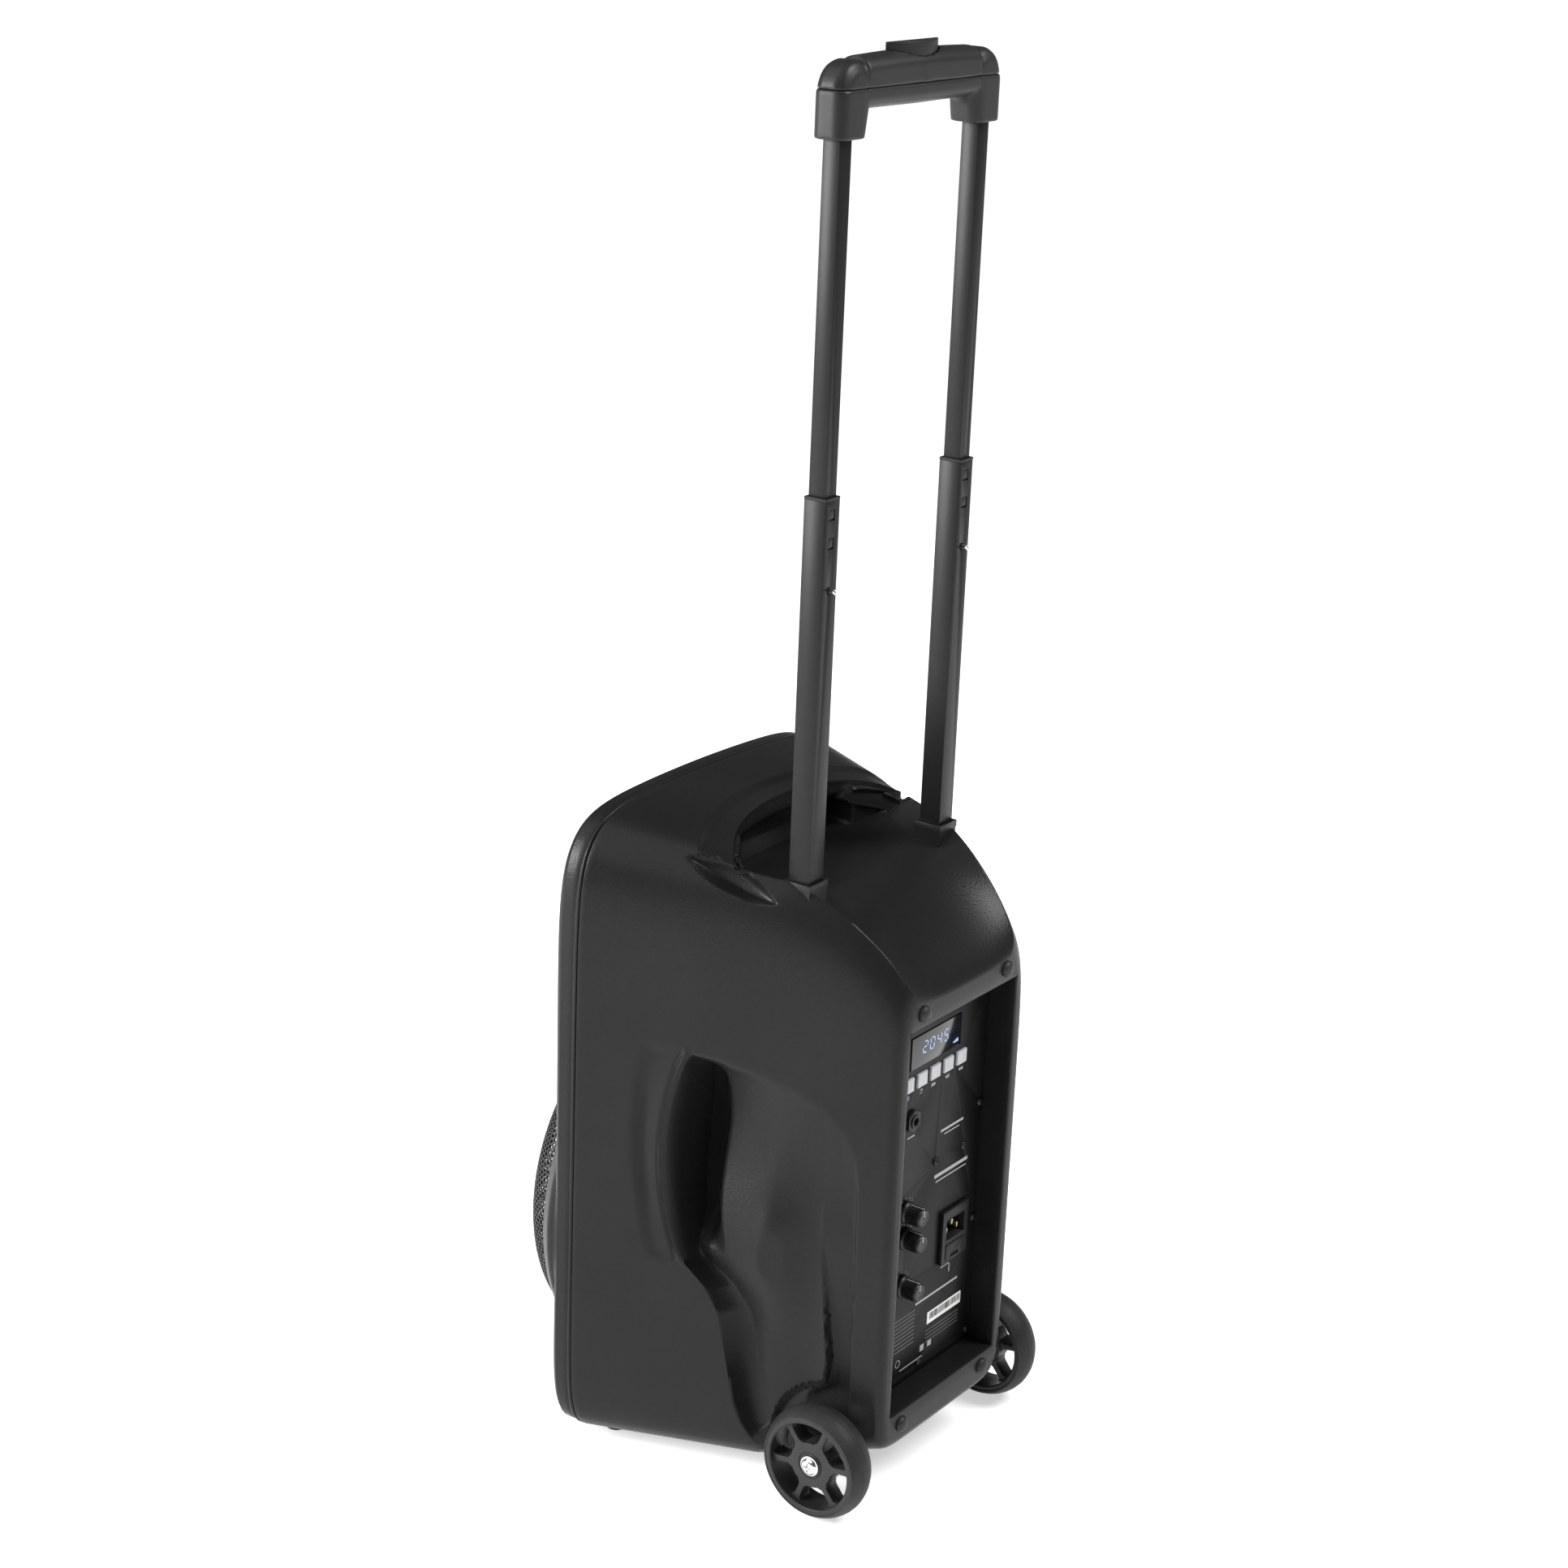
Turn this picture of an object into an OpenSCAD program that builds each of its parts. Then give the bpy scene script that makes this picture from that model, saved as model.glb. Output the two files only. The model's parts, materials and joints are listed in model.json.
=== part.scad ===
// Battery party speaker in a moulded two-shell cabinet, with wheels and a telescopic trolley handle.
// Units are millimetres, +Z is up, the front faces -Y and the amplifier panel faces +Y.
// The origin is on the ground, at the middle of the object's width and depth.

/* [Cabinet] */
// Width across the front shell
cab_w = 311; // [305:1:317]
// Width of the back face
back_w = 162; // [158:1:166]
// Height of the crown above the ground, at the seam
cab_h = 494; // [490:1:498]
// Height of the cabinet's underside at the seam
belly_front = 6; // [5:0.2:8]
// Distance from the back face to the seam between the two shells
seam_d = 223; // [220:1:225]
// Distance from the back face to the flat of the front shell
front_d = 243.5; // [242:0.5:245]
// Wall of both shells
wall = 3; // [2.6:0.1:3.4]

/* [Woofer] */
// Height of the woofer's axis
woofer_z = 164; // [162:1:167]
// Radius of the grille's rim
rim_r = 146; // [144:0.5:147]
// Distance from the back face to the rim
rim_d = 259; // [256:0.5:261]
// Distance from the back face to the top of the grille's dome
dome_d = 303; // [298:1:306]
// Radius of the woofer opening
woofer_hole_r = 118; // [114:1:119]

/* [Amplifier panel] */
// Width of the opening in the back face
panel_w = 137; // [134:1:138]
// Height of the opening in the back face
panel_h = 297; // [292:1:298]
// Height of the middle of the opening
panel_z = 216.4; // [215:0.2:218]
// Depth of the panel's face below the back face
panel_d = 22; // [20:0.5:23]

/* [Trolley] */
// Distance between the two legs
leg_gap = 163; // [162:0.5:164]
// Distance from the back face to the legs
leg_d = 83.7; // [82:0.1:85]
// Side of the square middle tube
mid_side = 16.8; // [16.7:0.1:17]
// Side of the square upper tube
upper_side = 13; // [12.8:0.1:13.1]
// Height of the socket's rim
socket_z = 460.6; // [458:0.2:464]
// Height of the middle tube's collar, drawn out
collar_z = 728.4; // [720:0.2:735]
// Height of the underside of the grip's legs, drawn out
grip_z = 958.6; // [950:0.2:965]

/* [Wheels] */
// Tyre radius at the crown of its tread
tyre_r = 42.2; // [41.5:0.1:42.6]
// Distance from the back face to the axle
axle_d = 31.8; // [31:0.1:32.6]
// Distance between the wheels' outer faces
track_w = 247.8; // [247:0.2:250]
// Width of a wheel
wheel_w = 24.6; // [24:0.1:24.8]

/* [Hidden] */
eps = 0.01;
gap = 0.3;

// Places that follow from the driving dimensions
wheel_overhang = tyre_r - axle_d;
back_y = (dome_d - wheel_overhang) / 2;
panel_face_y = back_y - panel_d;
leg_x = leg_gap / 2;
leg_y = back_y - leg_d;
axle_y = back_y - axle_d;
wheel_x = track_w / 2;

// Blending helpers
function lerp(a, b, t) = a + (b - a) * t;
function clamp01(t) = min(1, max(0, t));
function smooth(t) = let (u = clamp01(t)) u * u * (3 - 2 * u);

// ---- Cabinet surface: d is the distance forward of the back face ----
ridge_back_d = 95;
lip_edge_d = 126;
lip_bow = 38;
lip_half_w = 111;
arch_x = 92;
arch_r = 49;
belly_back = 41;
belly_mid = 13.5;
crown_arch = 8;
fall_power = 1.45;
function back_fall(d) = d >= ridge_back_d ? 1
    : pow(1 - pow((ridge_back_d - max(d, 0)) / ridge_back_d, fall_power), 1 / fall_power);
function half_w(d) = lerp(back_w / 2, cab_w / 2, clamp01(d / seam_d));
function crown(d) = d >= ridge_back_d
    ? lerp(cab_h - 19, cab_h, (d - ridge_back_d) / (seam_d - ridge_back_d))
    : lerp(cab_h - 100, cab_h - 19, back_fall(d));
function belly(d) = d >= ridge_back_d
    ? lerp(belly_mid, belly_front, (d - ridge_back_d) / (seam_d - ridge_back_d))
    : lerp(belly_back, belly_mid, d / ridge_back_d);
// Saddle between the two ridges, behind the top handle's lip
function saddle(d, x) = lerp(lerp(380, 438, back_fall(d)), crown(d) - crown_arch,
    pow(clamp01(abs(x) / (0.9 * half_w(d))), 3));
// Floor of the side scoop, which stands clear of the guide tubes
function scoop_floor(d) = lerp(85, 95.6, smooth((d - 28) / 42));
// Front edge of the side scoop, which is also the back edge of the moulded side grip
grip_z0 = 168;
grip_z1 = 332;
grip_back_d = 158;
function scoop_front(z) = z >= grip_z0
    ? grip_back_d - 16 * pow((min(z, grip_z1) - (grip_z0 + grip_z1) / 2) / ((grip_z1 - grip_z0) / 2), 2)
    : lookup(z, [[20, 84], [46, 99], [64, 105], [100, 111], [133, 117], [152, 127], [168, 142]]);
function scoop_top(d) = lookup(d, [[24, 255], [27, 274], [36, 291], [50, 305], [73, 316], [96, 323], [150, 331]]);
function scoop_edge(z) = lerp(20, 4, smooth((z - 110) / 70));
function scoop_depth(d, z, x) = max(0, x - scoop_floor(d))
    * smooth((scoop_front(z) - d) / scoop_edge(z)) * smooth((scoop_top(d) - z) / 24);
function arch_depth(d, z, x) = max(0, x - arch_x)
    * smooth((arch_r + 8 - norm([d - axle_d, z - tyre_r])) / 8);
// Raised side grip: a bowed strip in front of the scoop
function grip_swell(d, z) = let (back = scoop_front(max(z, 168)), front = back + 25)
    4 * smooth((front - d) / 8) * smooth((d - back + 8) / 8)
    * smooth((z - grip_z0 + 2) / 8) * smooth((grip_z1 - z) / 8);

// Directions round a unit square, with the points of each side crowded towards its corners
flank_steps = 20;
deck_steps = 14;
ring_steps = 2 * (flank_steps + deck_steps);
function crowd(t) = lerp(2 * t - 1, sin(90 * (2 * t - 1)), 0.6);
function square_dir(j) = let (
        half = flank_steps + deck_steps,
        k = j % half,
        q = k < flank_steps ? [1, crowd(k / flank_steps)] : [-crowd((k - flank_steps) / deck_steps), 1])
    j < half ? q : -q;
// The top corners are rounder than the bottom ones
top_power = 8;
belly_power = 11;
function corner_fill(q) = let (n = q[1] > 0 ? top_power : belly_power)
    pow(pow(abs(q[0]), n) + pow(abs(q[1]), n), -1 / n);
function lip_shift(x, d) = lip_bow * max(0, 1 - pow(x / lip_half_w, 2))
    * (d < lip_edge_d ? smooth(d / lip_edge_d) : smooth((seam_d - d) / (seam_d - lip_edge_d)));
// Outlines lean so that one follows the scoop's front edge and one follows the lip
scoop_ring_d = 150;
function flank_shift(z, d) = (scoop_front(z) - scoop_ring_d)
    * (d < scoop_ring_d ? smooth(d / scoop_ring_d) : smooth((seam_d - d) / (seam_d - scoop_ring_d)));
function shell_point(d, j, inset = 0) = let (
        q = square_dir(j),
        f = corner_fill(q),
        top = q[1] > 0 ? pow(q[1], 2) : 0,
        flank = pow(abs(q[0]), 3),
        z_mid = (crown(d) + belly(d)) / 2 + (crown(d) - belly(d)) / 2 * q[1] * f,
        dd = d + lip_shift(half_w(d) * q[0] * f, d) * top + flank_shift(z_mid, d) * flank,
        w = half_w(dd) - inset,
        x0 = w * q[0] * f,
        zm = (crown(dd) + belly(dd)) / 2,
        h = (crown(dd) - belly(dd)) / 2 - inset,
        z0 = zm + h * q[1] * f - crown_arch * pow(x0 / w, 2) * top,
        z = d < lip_edge_d && q[1] > 0.9 ? min(z0, saddle(dd, x0)) : z0,
        side = smooth((abs(q[0]) - 0.75) / 0.25),
        sunk = max(scoop_depth(dd, z, abs(x0)), arch_depth(dd, z, abs(x0))),
        x = sign(x0) * (abs(x0) + side * (grip_swell(dd, z) - sunk)))
    [x, back_y - dd, z];
function rect_point(w, h, zm, y, j) = let (q = square_dir(j)) [w / 2 * q[0], y, zm + h / 2 * q[1]];

// Depths at which the cabinet's outline is drawn
shell_depths = [223, 206, 190, 181, 173, 162, 153, 149.8, 146, 136, 126.4, 125.4, 114, 101, 88, 76, 64, 53,
    43, 34, 26, 18, 11, 6, 2.5, 0.8];
shell_n = len(shell_depths);
// The last outline turns in to the flat back face
function edge_inset(i) = i == shell_n - 1 ? 2.2 : i == shell_n - 2 ? 0.7 : 0;
skin = [for (i = [0:shell_n - 1]) [for (j = [0:ring_steps - 1]) shell_point(shell_depths[i], j, edge_inset(i))]];
back_ring = [for (j = [0:ring_steps - 1]) let (p = shell_point(0, j, 5)) [p[0], back_y, p[2]]];
outer = concat(skin, [back_ring]);
outer_n = shell_n + 1;
function out_normal(i, j) = let (
        a = outer[max(i - 1, 0)][j],
        b = outer[min(i + 1, outer_n - 1)][j],
        c = outer[i][(j + ring_steps - 1) % ring_steps],
        e = outer[i][(j + 1) % ring_steps],
        n = cross(b - a, e - c))
    n / max(norm(n), eps);
inner = [for (i = [0:outer_n - 1]) [for (j = [0:ring_steps - 1])
    let (p = outer[i][j] - wall * out_normal(i, j))
    i == 0 ? [p[0], back_y - seam_d, p[2]] : i == outer_n - 1 ? [p[0], back_y - wall, p[2]] : p]];
ledge = 6.5;
function panel_ring(grow, d) = [for (j = [0:ring_steps - 1])
    rect_point(panel_w + 2 * grow, panel_h + 2 * grow, panel_z, back_y - d, j)];
panel_rings = [panel_ring(0, 0), panel_ring(0, panel_d + 2), panel_ring(-ledge, panel_d + 2),
    panel_ring(-ledge, panel_d + 2 + wall), panel_ring(wall, panel_d + 2 + wall), panel_ring(wall, wall)];
shell_rings = concat(outer, panel_rings, [for (i = [outer_n - 1:-1:0]) inner[i]]);

// A closed band of quads through rings that return to the first one
module ring_band(rings) {
    n = len(rings);
    m = len(rings[0]);
    polyhedron(
        points = [for (r = rings) each r],
        faces = [for (i = [0:n - 1], j = [0:m - 1], k = [0, 1]) let (
            a = i * m + j,
            b = i * m + (j + 1) % m,
            c = ((i + 1) % n) * m + (j + 1) % m,
            e = ((i + 1) % n) * m + j)
            k == 0 ? [a, b, e] : [b, c, e]],
        convexity = 12);
}
// A solid through stacked rings, closed by a flat face at both ends
module ring_stack(rings) {
    n = len(rings);
    m = len(rings[0]);
    polyhedron(
        points = [for (r = rings) each r],
        faces = concat([[for (j = [0:m - 1]) j]], [[for (j = [m - 1:-1:0]) (n - 1) * m + j]],
            [for (i = [0:n - 2], j = [0:m - 1], k = [0, 1]) let (
                a = i * m + j,
                b = i * m + (j + 1) % m,
                c = (i + 1) * m + (j + 1) % m,
                e = (i + 1) * m + j)
                k == 0 ? [a, e, b] : [b, e, c]]),
        convexity = 8);
}
// A cylinder along +Y from y0 to y1, and a lathe profile of [radius, y] points about +Y
module rod_y(r, y0, y1, fn = 48) {
    translate([0, y0, 0]) rotate([-90, 0, 0]) cylinder(r = r, h = y1 - y0, $fn = fn);
}
module rod_x(r, x0, x1, fn = 48) {
    translate([x0, 0, 0]) rotate([0, 90, 0]) cylinder(r = r, h = x1 - x0, $fn = fn);
}
module lathe_y(points, fn = 96) {
    rotate([-90, 0, 0]) rotate_extrude($fn = fn) polygon(points);
}
module bar(x0, x1, y0, y1, z0, z1) {
    translate([x0, y0, z0]) cube([x1 - x0, y1 - y0, z1 - z0]);
}
module square_tube(side, bore, z0, z1) {
    difference() {
        translate([-side / 2, -side / 2, z0]) cube([side, side, z1 - z0]);
        translate([-bore / 2, -bore / 2, z0 - 1]) cube([bore, bore, z1 - z0 + 2]);
    }
}

// Screws that join the two shells, as [x, z] on the front face
shell_screw_places = [for (s = [-1, 1]) each [[s * 136, 36], [s * 146, 330], [s * 132, 446], [s * 56, 474]]];
foot_x = 109;
foot_y = back_y - 215;
bumper_x = 53.7;
bumper_zs = [57.4, 375.6];
pocket_front_d = 178;
pocket_half_w = 70;
pocket_z0 = 446;
pocket_z1 = 469;
cup_wall = 2.4;
// Hollow under the top handle's lip, grown by the cup's wall where that is asked for
module pocket_space(grow) {
    hull() {
        for (s = [-1, 1]) {
            translate([s * (pocket_half_w - 12), back_y - pocket_front_d + 12, pocket_z0 - grow])
                cylinder(r = 12 + grow, h = pocket_z1 - pocket_z0 + 2 * grow, $fn = 24);
            translate([s * (pocket_half_w - 12), back_y - lip_edge_d, pocket_z0 - grow])
                cylinder(r = 12 + grow, h = pocket_z1 - pocket_z0 + 2 * grow, $fn = 24);
        }
    }
}
// Everything that lies further forward than the bowed wall under the lip
module ahead_of_lip(shift) {
    reach = 120;
    translate([0, 0, pocket_z0 - 20]) linear_extrude(60)
    polygon(concat([for (x = [-reach:10:reach])
            [x, back_y - lip_edge_d - lip_bow * (1 - pow(x / lip_half_w, 2)) - shift]],
        [[reach, back_y - seam_d], [-reach, back_y - seam_d]]));
}
module rear_shell() {
    color([0.05, 0.05, 0.055])
    difference() {
        union() {
            ring_band(shell_rings);
            // Bosses for the shell screws
            for (p = shell_screw_places) {
                hull() {
                    translate([p[0], back_y - seam_d, p[1]]) rod_y(5, 0, 18, 24);
                    translate([p[0], back_y - seam_d, p[1]]) rod_y(4, 0, 26, 24);
                }
            }
            // Ribs that tie the upper bosses to the wall
            for (s = [-1, 1]) {
                bar(s > 0 ? 132 : -145, s > 0 ? 145 : -132, back_y - seam_d, back_y - seam_d + 18, 444, 448);
                bar(s * 56 - 2, s * 56 + 2, back_y - seam_d, back_y - seam_d + 18, 474, 489);
            }
            for (s = [-1, 1]) {
                translate([0, axle_y, tyre_r]) rod_x(11, s > 0 ? 80 : -99.4, s > 0 ? 99.4 : -80, 40);
            }
        }
        intersection() {
            pocket_space(0);
            ahead_of_lip(-3);
        }
        for (p = shell_screw_places) {
            translate([p[0], back_y - seam_d - 1, p[1]]) rod_y(1.9, 0, 24, 16);
        }
        for (s = [-1, 1]) {
            translate([s * leg_x, leg_y, 430]) translate([-11.3, -11.3, 0]) cube([22.6, 22.6, 60]);
            translate([0, axle_y, tyre_r]) rod_x(4.2, s > 0 ? 70 : -110, s > 0 ? 110 : -70, 24);
            translate([s * foot_x, foot_y, 0]) cylinder(r = 3.2, h = 40, $fn = 20);
            for (z = bumper_zs) {
                translate([s * bumper_x, back_y - 12, z]) rod_y(2.2, 0, 20, 16);
            }
            for (z = panel_screw_zs) {
                translate([s * panel_screw_x, back_y - panel_d - 12, z]) rod_y(1.7, 0, 14, 16);
            }
        }
        translate([0, back_y - panel_d - 12, panel_screw_low_z]) rod_y(1.7, 0, 14, 16);
    }
}
module handle_cup() {
    color([0.04, 0.04, 0.045])
    intersection() {
        difference() {
            pocket_space(cup_wall);
            pocket_space(0);
        }
        ahead_of_lip(wall + 1.4);
    }
}

// Front shell: the seam's outline carried forward, with a rolled front edge
function front_ring(d, inset) = [for (j = [0:ring_steps - 1])
    let (p = shell_point(seam_d, j, inset)) [p[0], back_y - d, p[2]]];
bulge_r = cab_w / 2 - 0.5;
horn_z = 402;
horn_w = 150;
horn_h = 84;
module front_shell() {
    color([0.05, 0.05, 0.055])
    difference() {
        union() {
            ring_stack([front_ring(seam_d + gap, 0), front_ring(front_d - 9, 0.2), front_ring(front_d - 4.4, 1.6),
                front_ring(front_d - 1.4, 4.2), front_ring(front_d, 8.6)]);
            translate([0, 0, woofer_z]) intersection() {
                lathe_y([[woofer_hole_r + 8, wall - front_d + back_y], [bulge_r, wall - front_d + back_y],
                    [bulge_r, back_y - front_d + 2], [bulge_r - 3, back_y - front_d - 5],
                    [rim_r + 1, back_y - rim_d + 3], [rim_r - 2, back_y - rim_d], [rim_r - 7, back_y - rim_d],
                    [rim_r - 9, back_y - rim_d + 5], [woofer_hole_r + 8, back_y - front_d - 2]], 72);
                bar(-cab_w / 2, cab_w / 2, -200, 200, belly_front - woofer_z, 300);
            }
        }
        ring_stack([front_ring(seam_d - 1, wall), front_ring(front_d - wall - 2.5, wall + 1),
            front_ring(front_d - wall, wall + 5)]);
        translate([0, 0, woofer_z]) rod_y(woofer_hole_r, back_y - front_d - 30, back_y - front_d + 20, 72);
        hull() {
            for (x = [-1, 1], z = [-1, 1]) {
                translate([x * (horn_w / 2 - 12), 0, horn_z + z * (horn_h / 2 - 12)])
                    rod_y(12, back_y - front_d - 5, back_y - front_d + 10, 24);
            }
        }
        for (p = shell_screw_places) {
            translate([p[0], back_y - front_d - 1, p[1]]) rod_y(2.3, 0, 20, 16);
            translate([p[0], back_y - front_d - 1, p[1]]) rod_y(4.4, 0, 3, 20);
        }
        for (s = [-1, 1]) {
            for (i = [0:3]) {
                hull() {
                    translate([s * (40 + 12 * i), 0, 343]) rod_y(1.5, back_y - front_d - 1, back_y - front_d + 1.2, 12);
                    translate([s * (46 + 12 * i), 0, 343]) rod_y(1.5, back_y - front_d - 1, back_y - front_d + 1.2, 12);
                }
            }
        }
    }
}
dome_power = 3;
module woofer_grille() {
    seat = rim_r - 8;
    rise = dome_d - rim_d;
    // A superellipse: steep at the rim and gently crowned in the middle
    function dome_pt(a, t) = [(seat - 1.5 - t) * pow(sin(a), 2 / dome_power),
        back_y - rim_d + 3 - (rise + 3 - t) * pow(cos(a), 2 / dome_power)];
    steps = 14;
    color([0.1, 0.1, 0.1])
    translate([0, 0, woofer_z])
    lathe_y(concat([[0, back_y - dome_d]], [for (i = [1:steps]) dome_pt(90 * i / steps, 0)],
        [for (i = [steps:-1:1]) dome_pt(90 * i / steps, 1.2)], [[0, back_y - dome_d + 1.2]]), 72);
}
module light_ring() {
    y0 = back_y - front_d - gap;
    color([0.85, 0.88, 0.9])
    translate([0, 0, woofer_z])
    lathe_y([[119.5, y0], [119.5, y0 - 5], [121, y0 - 6.5], [124, y0 - 6.5], [125.3, y0 - 5], [125.3, y0]], 96);
}
cone_front_y = back_y - front_d + 10;
magnet_y0 = back_y - 165;
magnet_y1 = back_y - 140;
module woofer_basket() {
    flange_y = back_y - front_d + wall + 0.4;
    color([0.25, 0.25, 0.27])
    translate([0, 0, woofer_z])
    difference() {
        lathe_y([[114, flange_y], [127, flange_y], [127, flange_y + 4], [118, flange_y + 4],
            [64, magnet_y0 - 4], [64, magnet_y0 - gap], [30, magnet_y0 - gap], [30, magnet_y0 - 4],
            [58, magnet_y0 - 4], [112, flange_y + 6]], 72);
        for (i = [0:5]) {
            rotate([0, 60 * i + 30, 0]) bar(70, 108, flange_y + 8, magnet_y0 - 8, -26, 26);
        }
        for (i = [0:7]) {
            rotate([0, 45 * i + 22.5, 0]) translate([121, 0, 0]) rod_y(2.5, flange_y - 1, flange_y + 6, 20);
        }
    }
}
module woofer_surround() {
    roll = 8;
    y0 = cone_front_y - 5.2;
    color([0.06, 0.06, 0.06])
    translate([0, 0, woofer_z])
    lathe_y(concat([[112.6, y0]], [for (a = [0:20:180]) [103 + roll * cos(a), y0 - roll * 0.6 * sin(a)]],
        [[92.4, y0], [92.4, y0 + 1.2], [96, y0 + 1.2]],
        [for (a = [180:-20:0]) [103 + (roll - 1.2) * cos(a), y0 + 1.2 - roll * 0.6 * sin(a)]],
        [[112.6, y0 + 1.2]]), 72);
}
module woofer_cone() {
    y0 = cone_front_y - 3.6;
    color([0.08, 0.08, 0.08])
    translate([0, 0, woofer_z])
    lathe_y([[95.5, y0], [95.5, y0 + 1.5], [62, y0 + 24], [27, y0 + 42], [27, magnet_y0 - 6], [25.5, magnet_y0 - 6],
        [25.5, y0 + 41], [60.5, y0 + 22.4], [93, y0]], 72);
}
module dust_cap() {
    y0 = cone_front_y + 32.2;
    color([0.1, 0.1, 0.1])
    translate([0, 0, woofer_z])
    lathe_y(concat([for (a = [0:10:90]) [34 * cos(a), y0 - 11 * sin(a)]],
        [for (a = [90:-10:0]) [33 * cos(a), y0 + 0.6 - 10.8 * sin(a)]]), 72);
}
module woofer_magnet() {
    color([0.3, 0.3, 0.32])
    translate([0, 0, woofer_z])
    difference() {
        lathe_y([[0, magnet_y0], [56, magnet_y0], [58, magnet_y0 + 2], [58, magnet_y1 - 4], [54, magnet_y1],
            [0, magnet_y1]], 72);
        rod_y(9, magnet_y0 - 1, magnet_y1 + 1);
    }
}
module horn_outline(w, h, r, y0, y1) {
    hull() {
        for (x = [-1, 1], z = [-1, 1]) {
            translate([x * (w / 2 - r), 0, z * (h / 2 - r)]) rod_y(r, y0, y1, 24);
        }
    }
}
module tweeter_horn() {
    y0 = back_y - front_d - 1.6;
    color([0.07, 0.07, 0.075])
    translate([0, 0, horn_z])
    difference() {
        union() {
            horn_outline(horn_w + 14, horn_h + 12, 14, y0, y0 + 1.4);
            horn_outline(horn_w - 1, horn_h - 1, 11, y0, y0 + 8);
            hull() {
                horn_outline(horn_w - 4, horn_h - 4, 10, y0 + 7, y0 + 8);
                rod_y(22, y0 + 56, y0 + 58, 32);
            }
        }
        hull() {
            horn_outline(horn_w - 12, horn_h - 12, 8, y0 - 1, y0);
            horn_outline(horn_w * 0.55, horn_h * 0.55, 8, y0 + 20, y0 + 21);
        }
        hull() {
            horn_outline(horn_w * 0.55, horn_h * 0.55, 8, y0 + 20, y0 + 21);
            rod_y(13, y0 + 58, y0 + 59, 32);
        }
    }
}
module tweeter_driver() {
    y0 = back_y - front_d + 56.8;
    color([0.35, 0.35, 0.37])
    translate([0, 0, horn_z])
    lathe_y([[0, y0], [40, y0], [40, y0 + 6], [32, y0 + 9], [32, y0 + 17], [30, y0 + 19], [0, y0 + 19]], 64);
}
module shell_screws() {
    color([0.2, 0.2, 0.2])
    for (p = shell_screw_places) {
        translate([p[0], back_y - front_d, p[1]]) {
            difference() {
                union() {
                    rod_y(4, 0, 1.8, 32);
                    rod_y(1.7, 1.7, 38, 24);
                }
                rod_y(1.6, -1, 1.2, 6);
            }
        }
    }
}
module front_feet() {
    color([0.08, 0.08, 0.08])
    for (s = [-1, 1]) {
        translate([s * foot_x, foot_y, 0]) {
            rotate_extrude($fn = 40) polygon([[0, 0], [6, 0], [7.4, 1], [8, 2.6], [8, 5.6], [3, 5.6], [3, 20], [0, 20]]);
        }
    }
}
module back_bumpers() {
    color([0.08, 0.08, 0.08])
    for (s = [-1, 1], z = bumper_zs) {
        translate([s * bumper_x, back_y, z])
        lathe_y(concat([[0, 4.4]], [for (a = [75:-15:0]) [6 * cos(a), 0.4 + 4 * sin(a)]],
            [[6, 0.1], [2, 0.1], [2, -9], [0, -9]]), 40);
    }
}

// ---- Amplifier panel and what it carries ----
panel_screw_x = 64.6;
panel_screw_zs = [75.2, 169, 262, 357.2];
panel_screw_low_z = 75.2;
sink_screw_places = [[-45, 234], [-8.6, 234.6]];
display_x = 0.5;
display_z = 331;
key_z = 308;
key_pitch = 17.1;
jack_x = 27;
jack_z = 279.4;
knob_x = 29;
knob_zs = [208.7, 188.3, 149.8];
inlet_x = -36.4;
inlet_z = 168;
switch_x = 54;
switch_z = 228;
module amp_panel() {
    y1 = panel_face_y;
    y0 = y1 - 2;
    color([0.07, 0.07, 0.075])
    difference() {
        bar(gap - panel_w / 2, panel_w / 2 - gap, y0, y1, panel_z - panel_h / 2 + gap, panel_z + panel_h / 2 - gap);
        bar(display_x - 32.4, display_x + 32.4, y0 - 1, y1 + 1, display_z - 12.4, display_z + 12.4);
        for (i = [-2:2]) {
            bar(i * key_pitch - 6.6, i * key_pitch + 6.6, y0 - 1, y1 + 1, key_z - 5.8, key_z + 5.8);
        }
        translate([jack_x, 0, jack_z]) rod_y(5.2, y0 - 1, y1 + 1);
        for (z = knob_zs) {
            translate([knob_x, 0, z]) rod_y(3.8, y0 - 1, y1 + 1);
        }
        bar(inlet_x - 14.6, inlet_x + 14.6, y0 - 1, y1 + 1, inlet_z - 18.6, inlet_z + 18.6);
        bar(switch_x - 6.8, switch_x + 6.8, y0 - 1, y1 + 1, switch_z - 9.9, switch_z + 9.9);
        for (s = [-1, 1], z = panel_screw_zs) {
            translate([s * panel_screw_x, 0, z]) rod_y(1.8, y0 - 1, y1 + 1, 24);
        }
        translate([0, 0, panel_screw_low_z]) rod_y(1.8, y0 - 1, y1 + 1, 24);
        for (p = sink_screw_places) {
            translate([p[0], 0, p[1]]) rod_y(1.8, y0 - 1, y1 + 1, 24);
        }
    }
}
module pan_screw(length) {
    difference() {
        union() {
            lathe_y([[0, 2], [1.6, 1.9], [2.8, 1.2], [3.3, 0.05], [0, 0.05]], 32);
            rod_y(1.4, -length, 0.1, 20);
        }
        bar(-2, 2, 1.1, 3, -0.4, 0.4);
        bar(-0.4, 0.4, 1.1, 3, -2, 2);
    }
}
module panel_screws() {
    color([0.12, 0.12, 0.12]) {
        for (s = [-1, 1], z = panel_screw_zs) {
            translate([s * panel_screw_x, panel_face_y, z]) pan_screw(8);
        }
        translate([0, panel_face_y, panel_screw_low_z]) pan_screw(8);
        for (p = sink_screw_places) {
            translate([p[0], panel_face_y, p[1]]) pan_screw(6);
        }
    }
}
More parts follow.
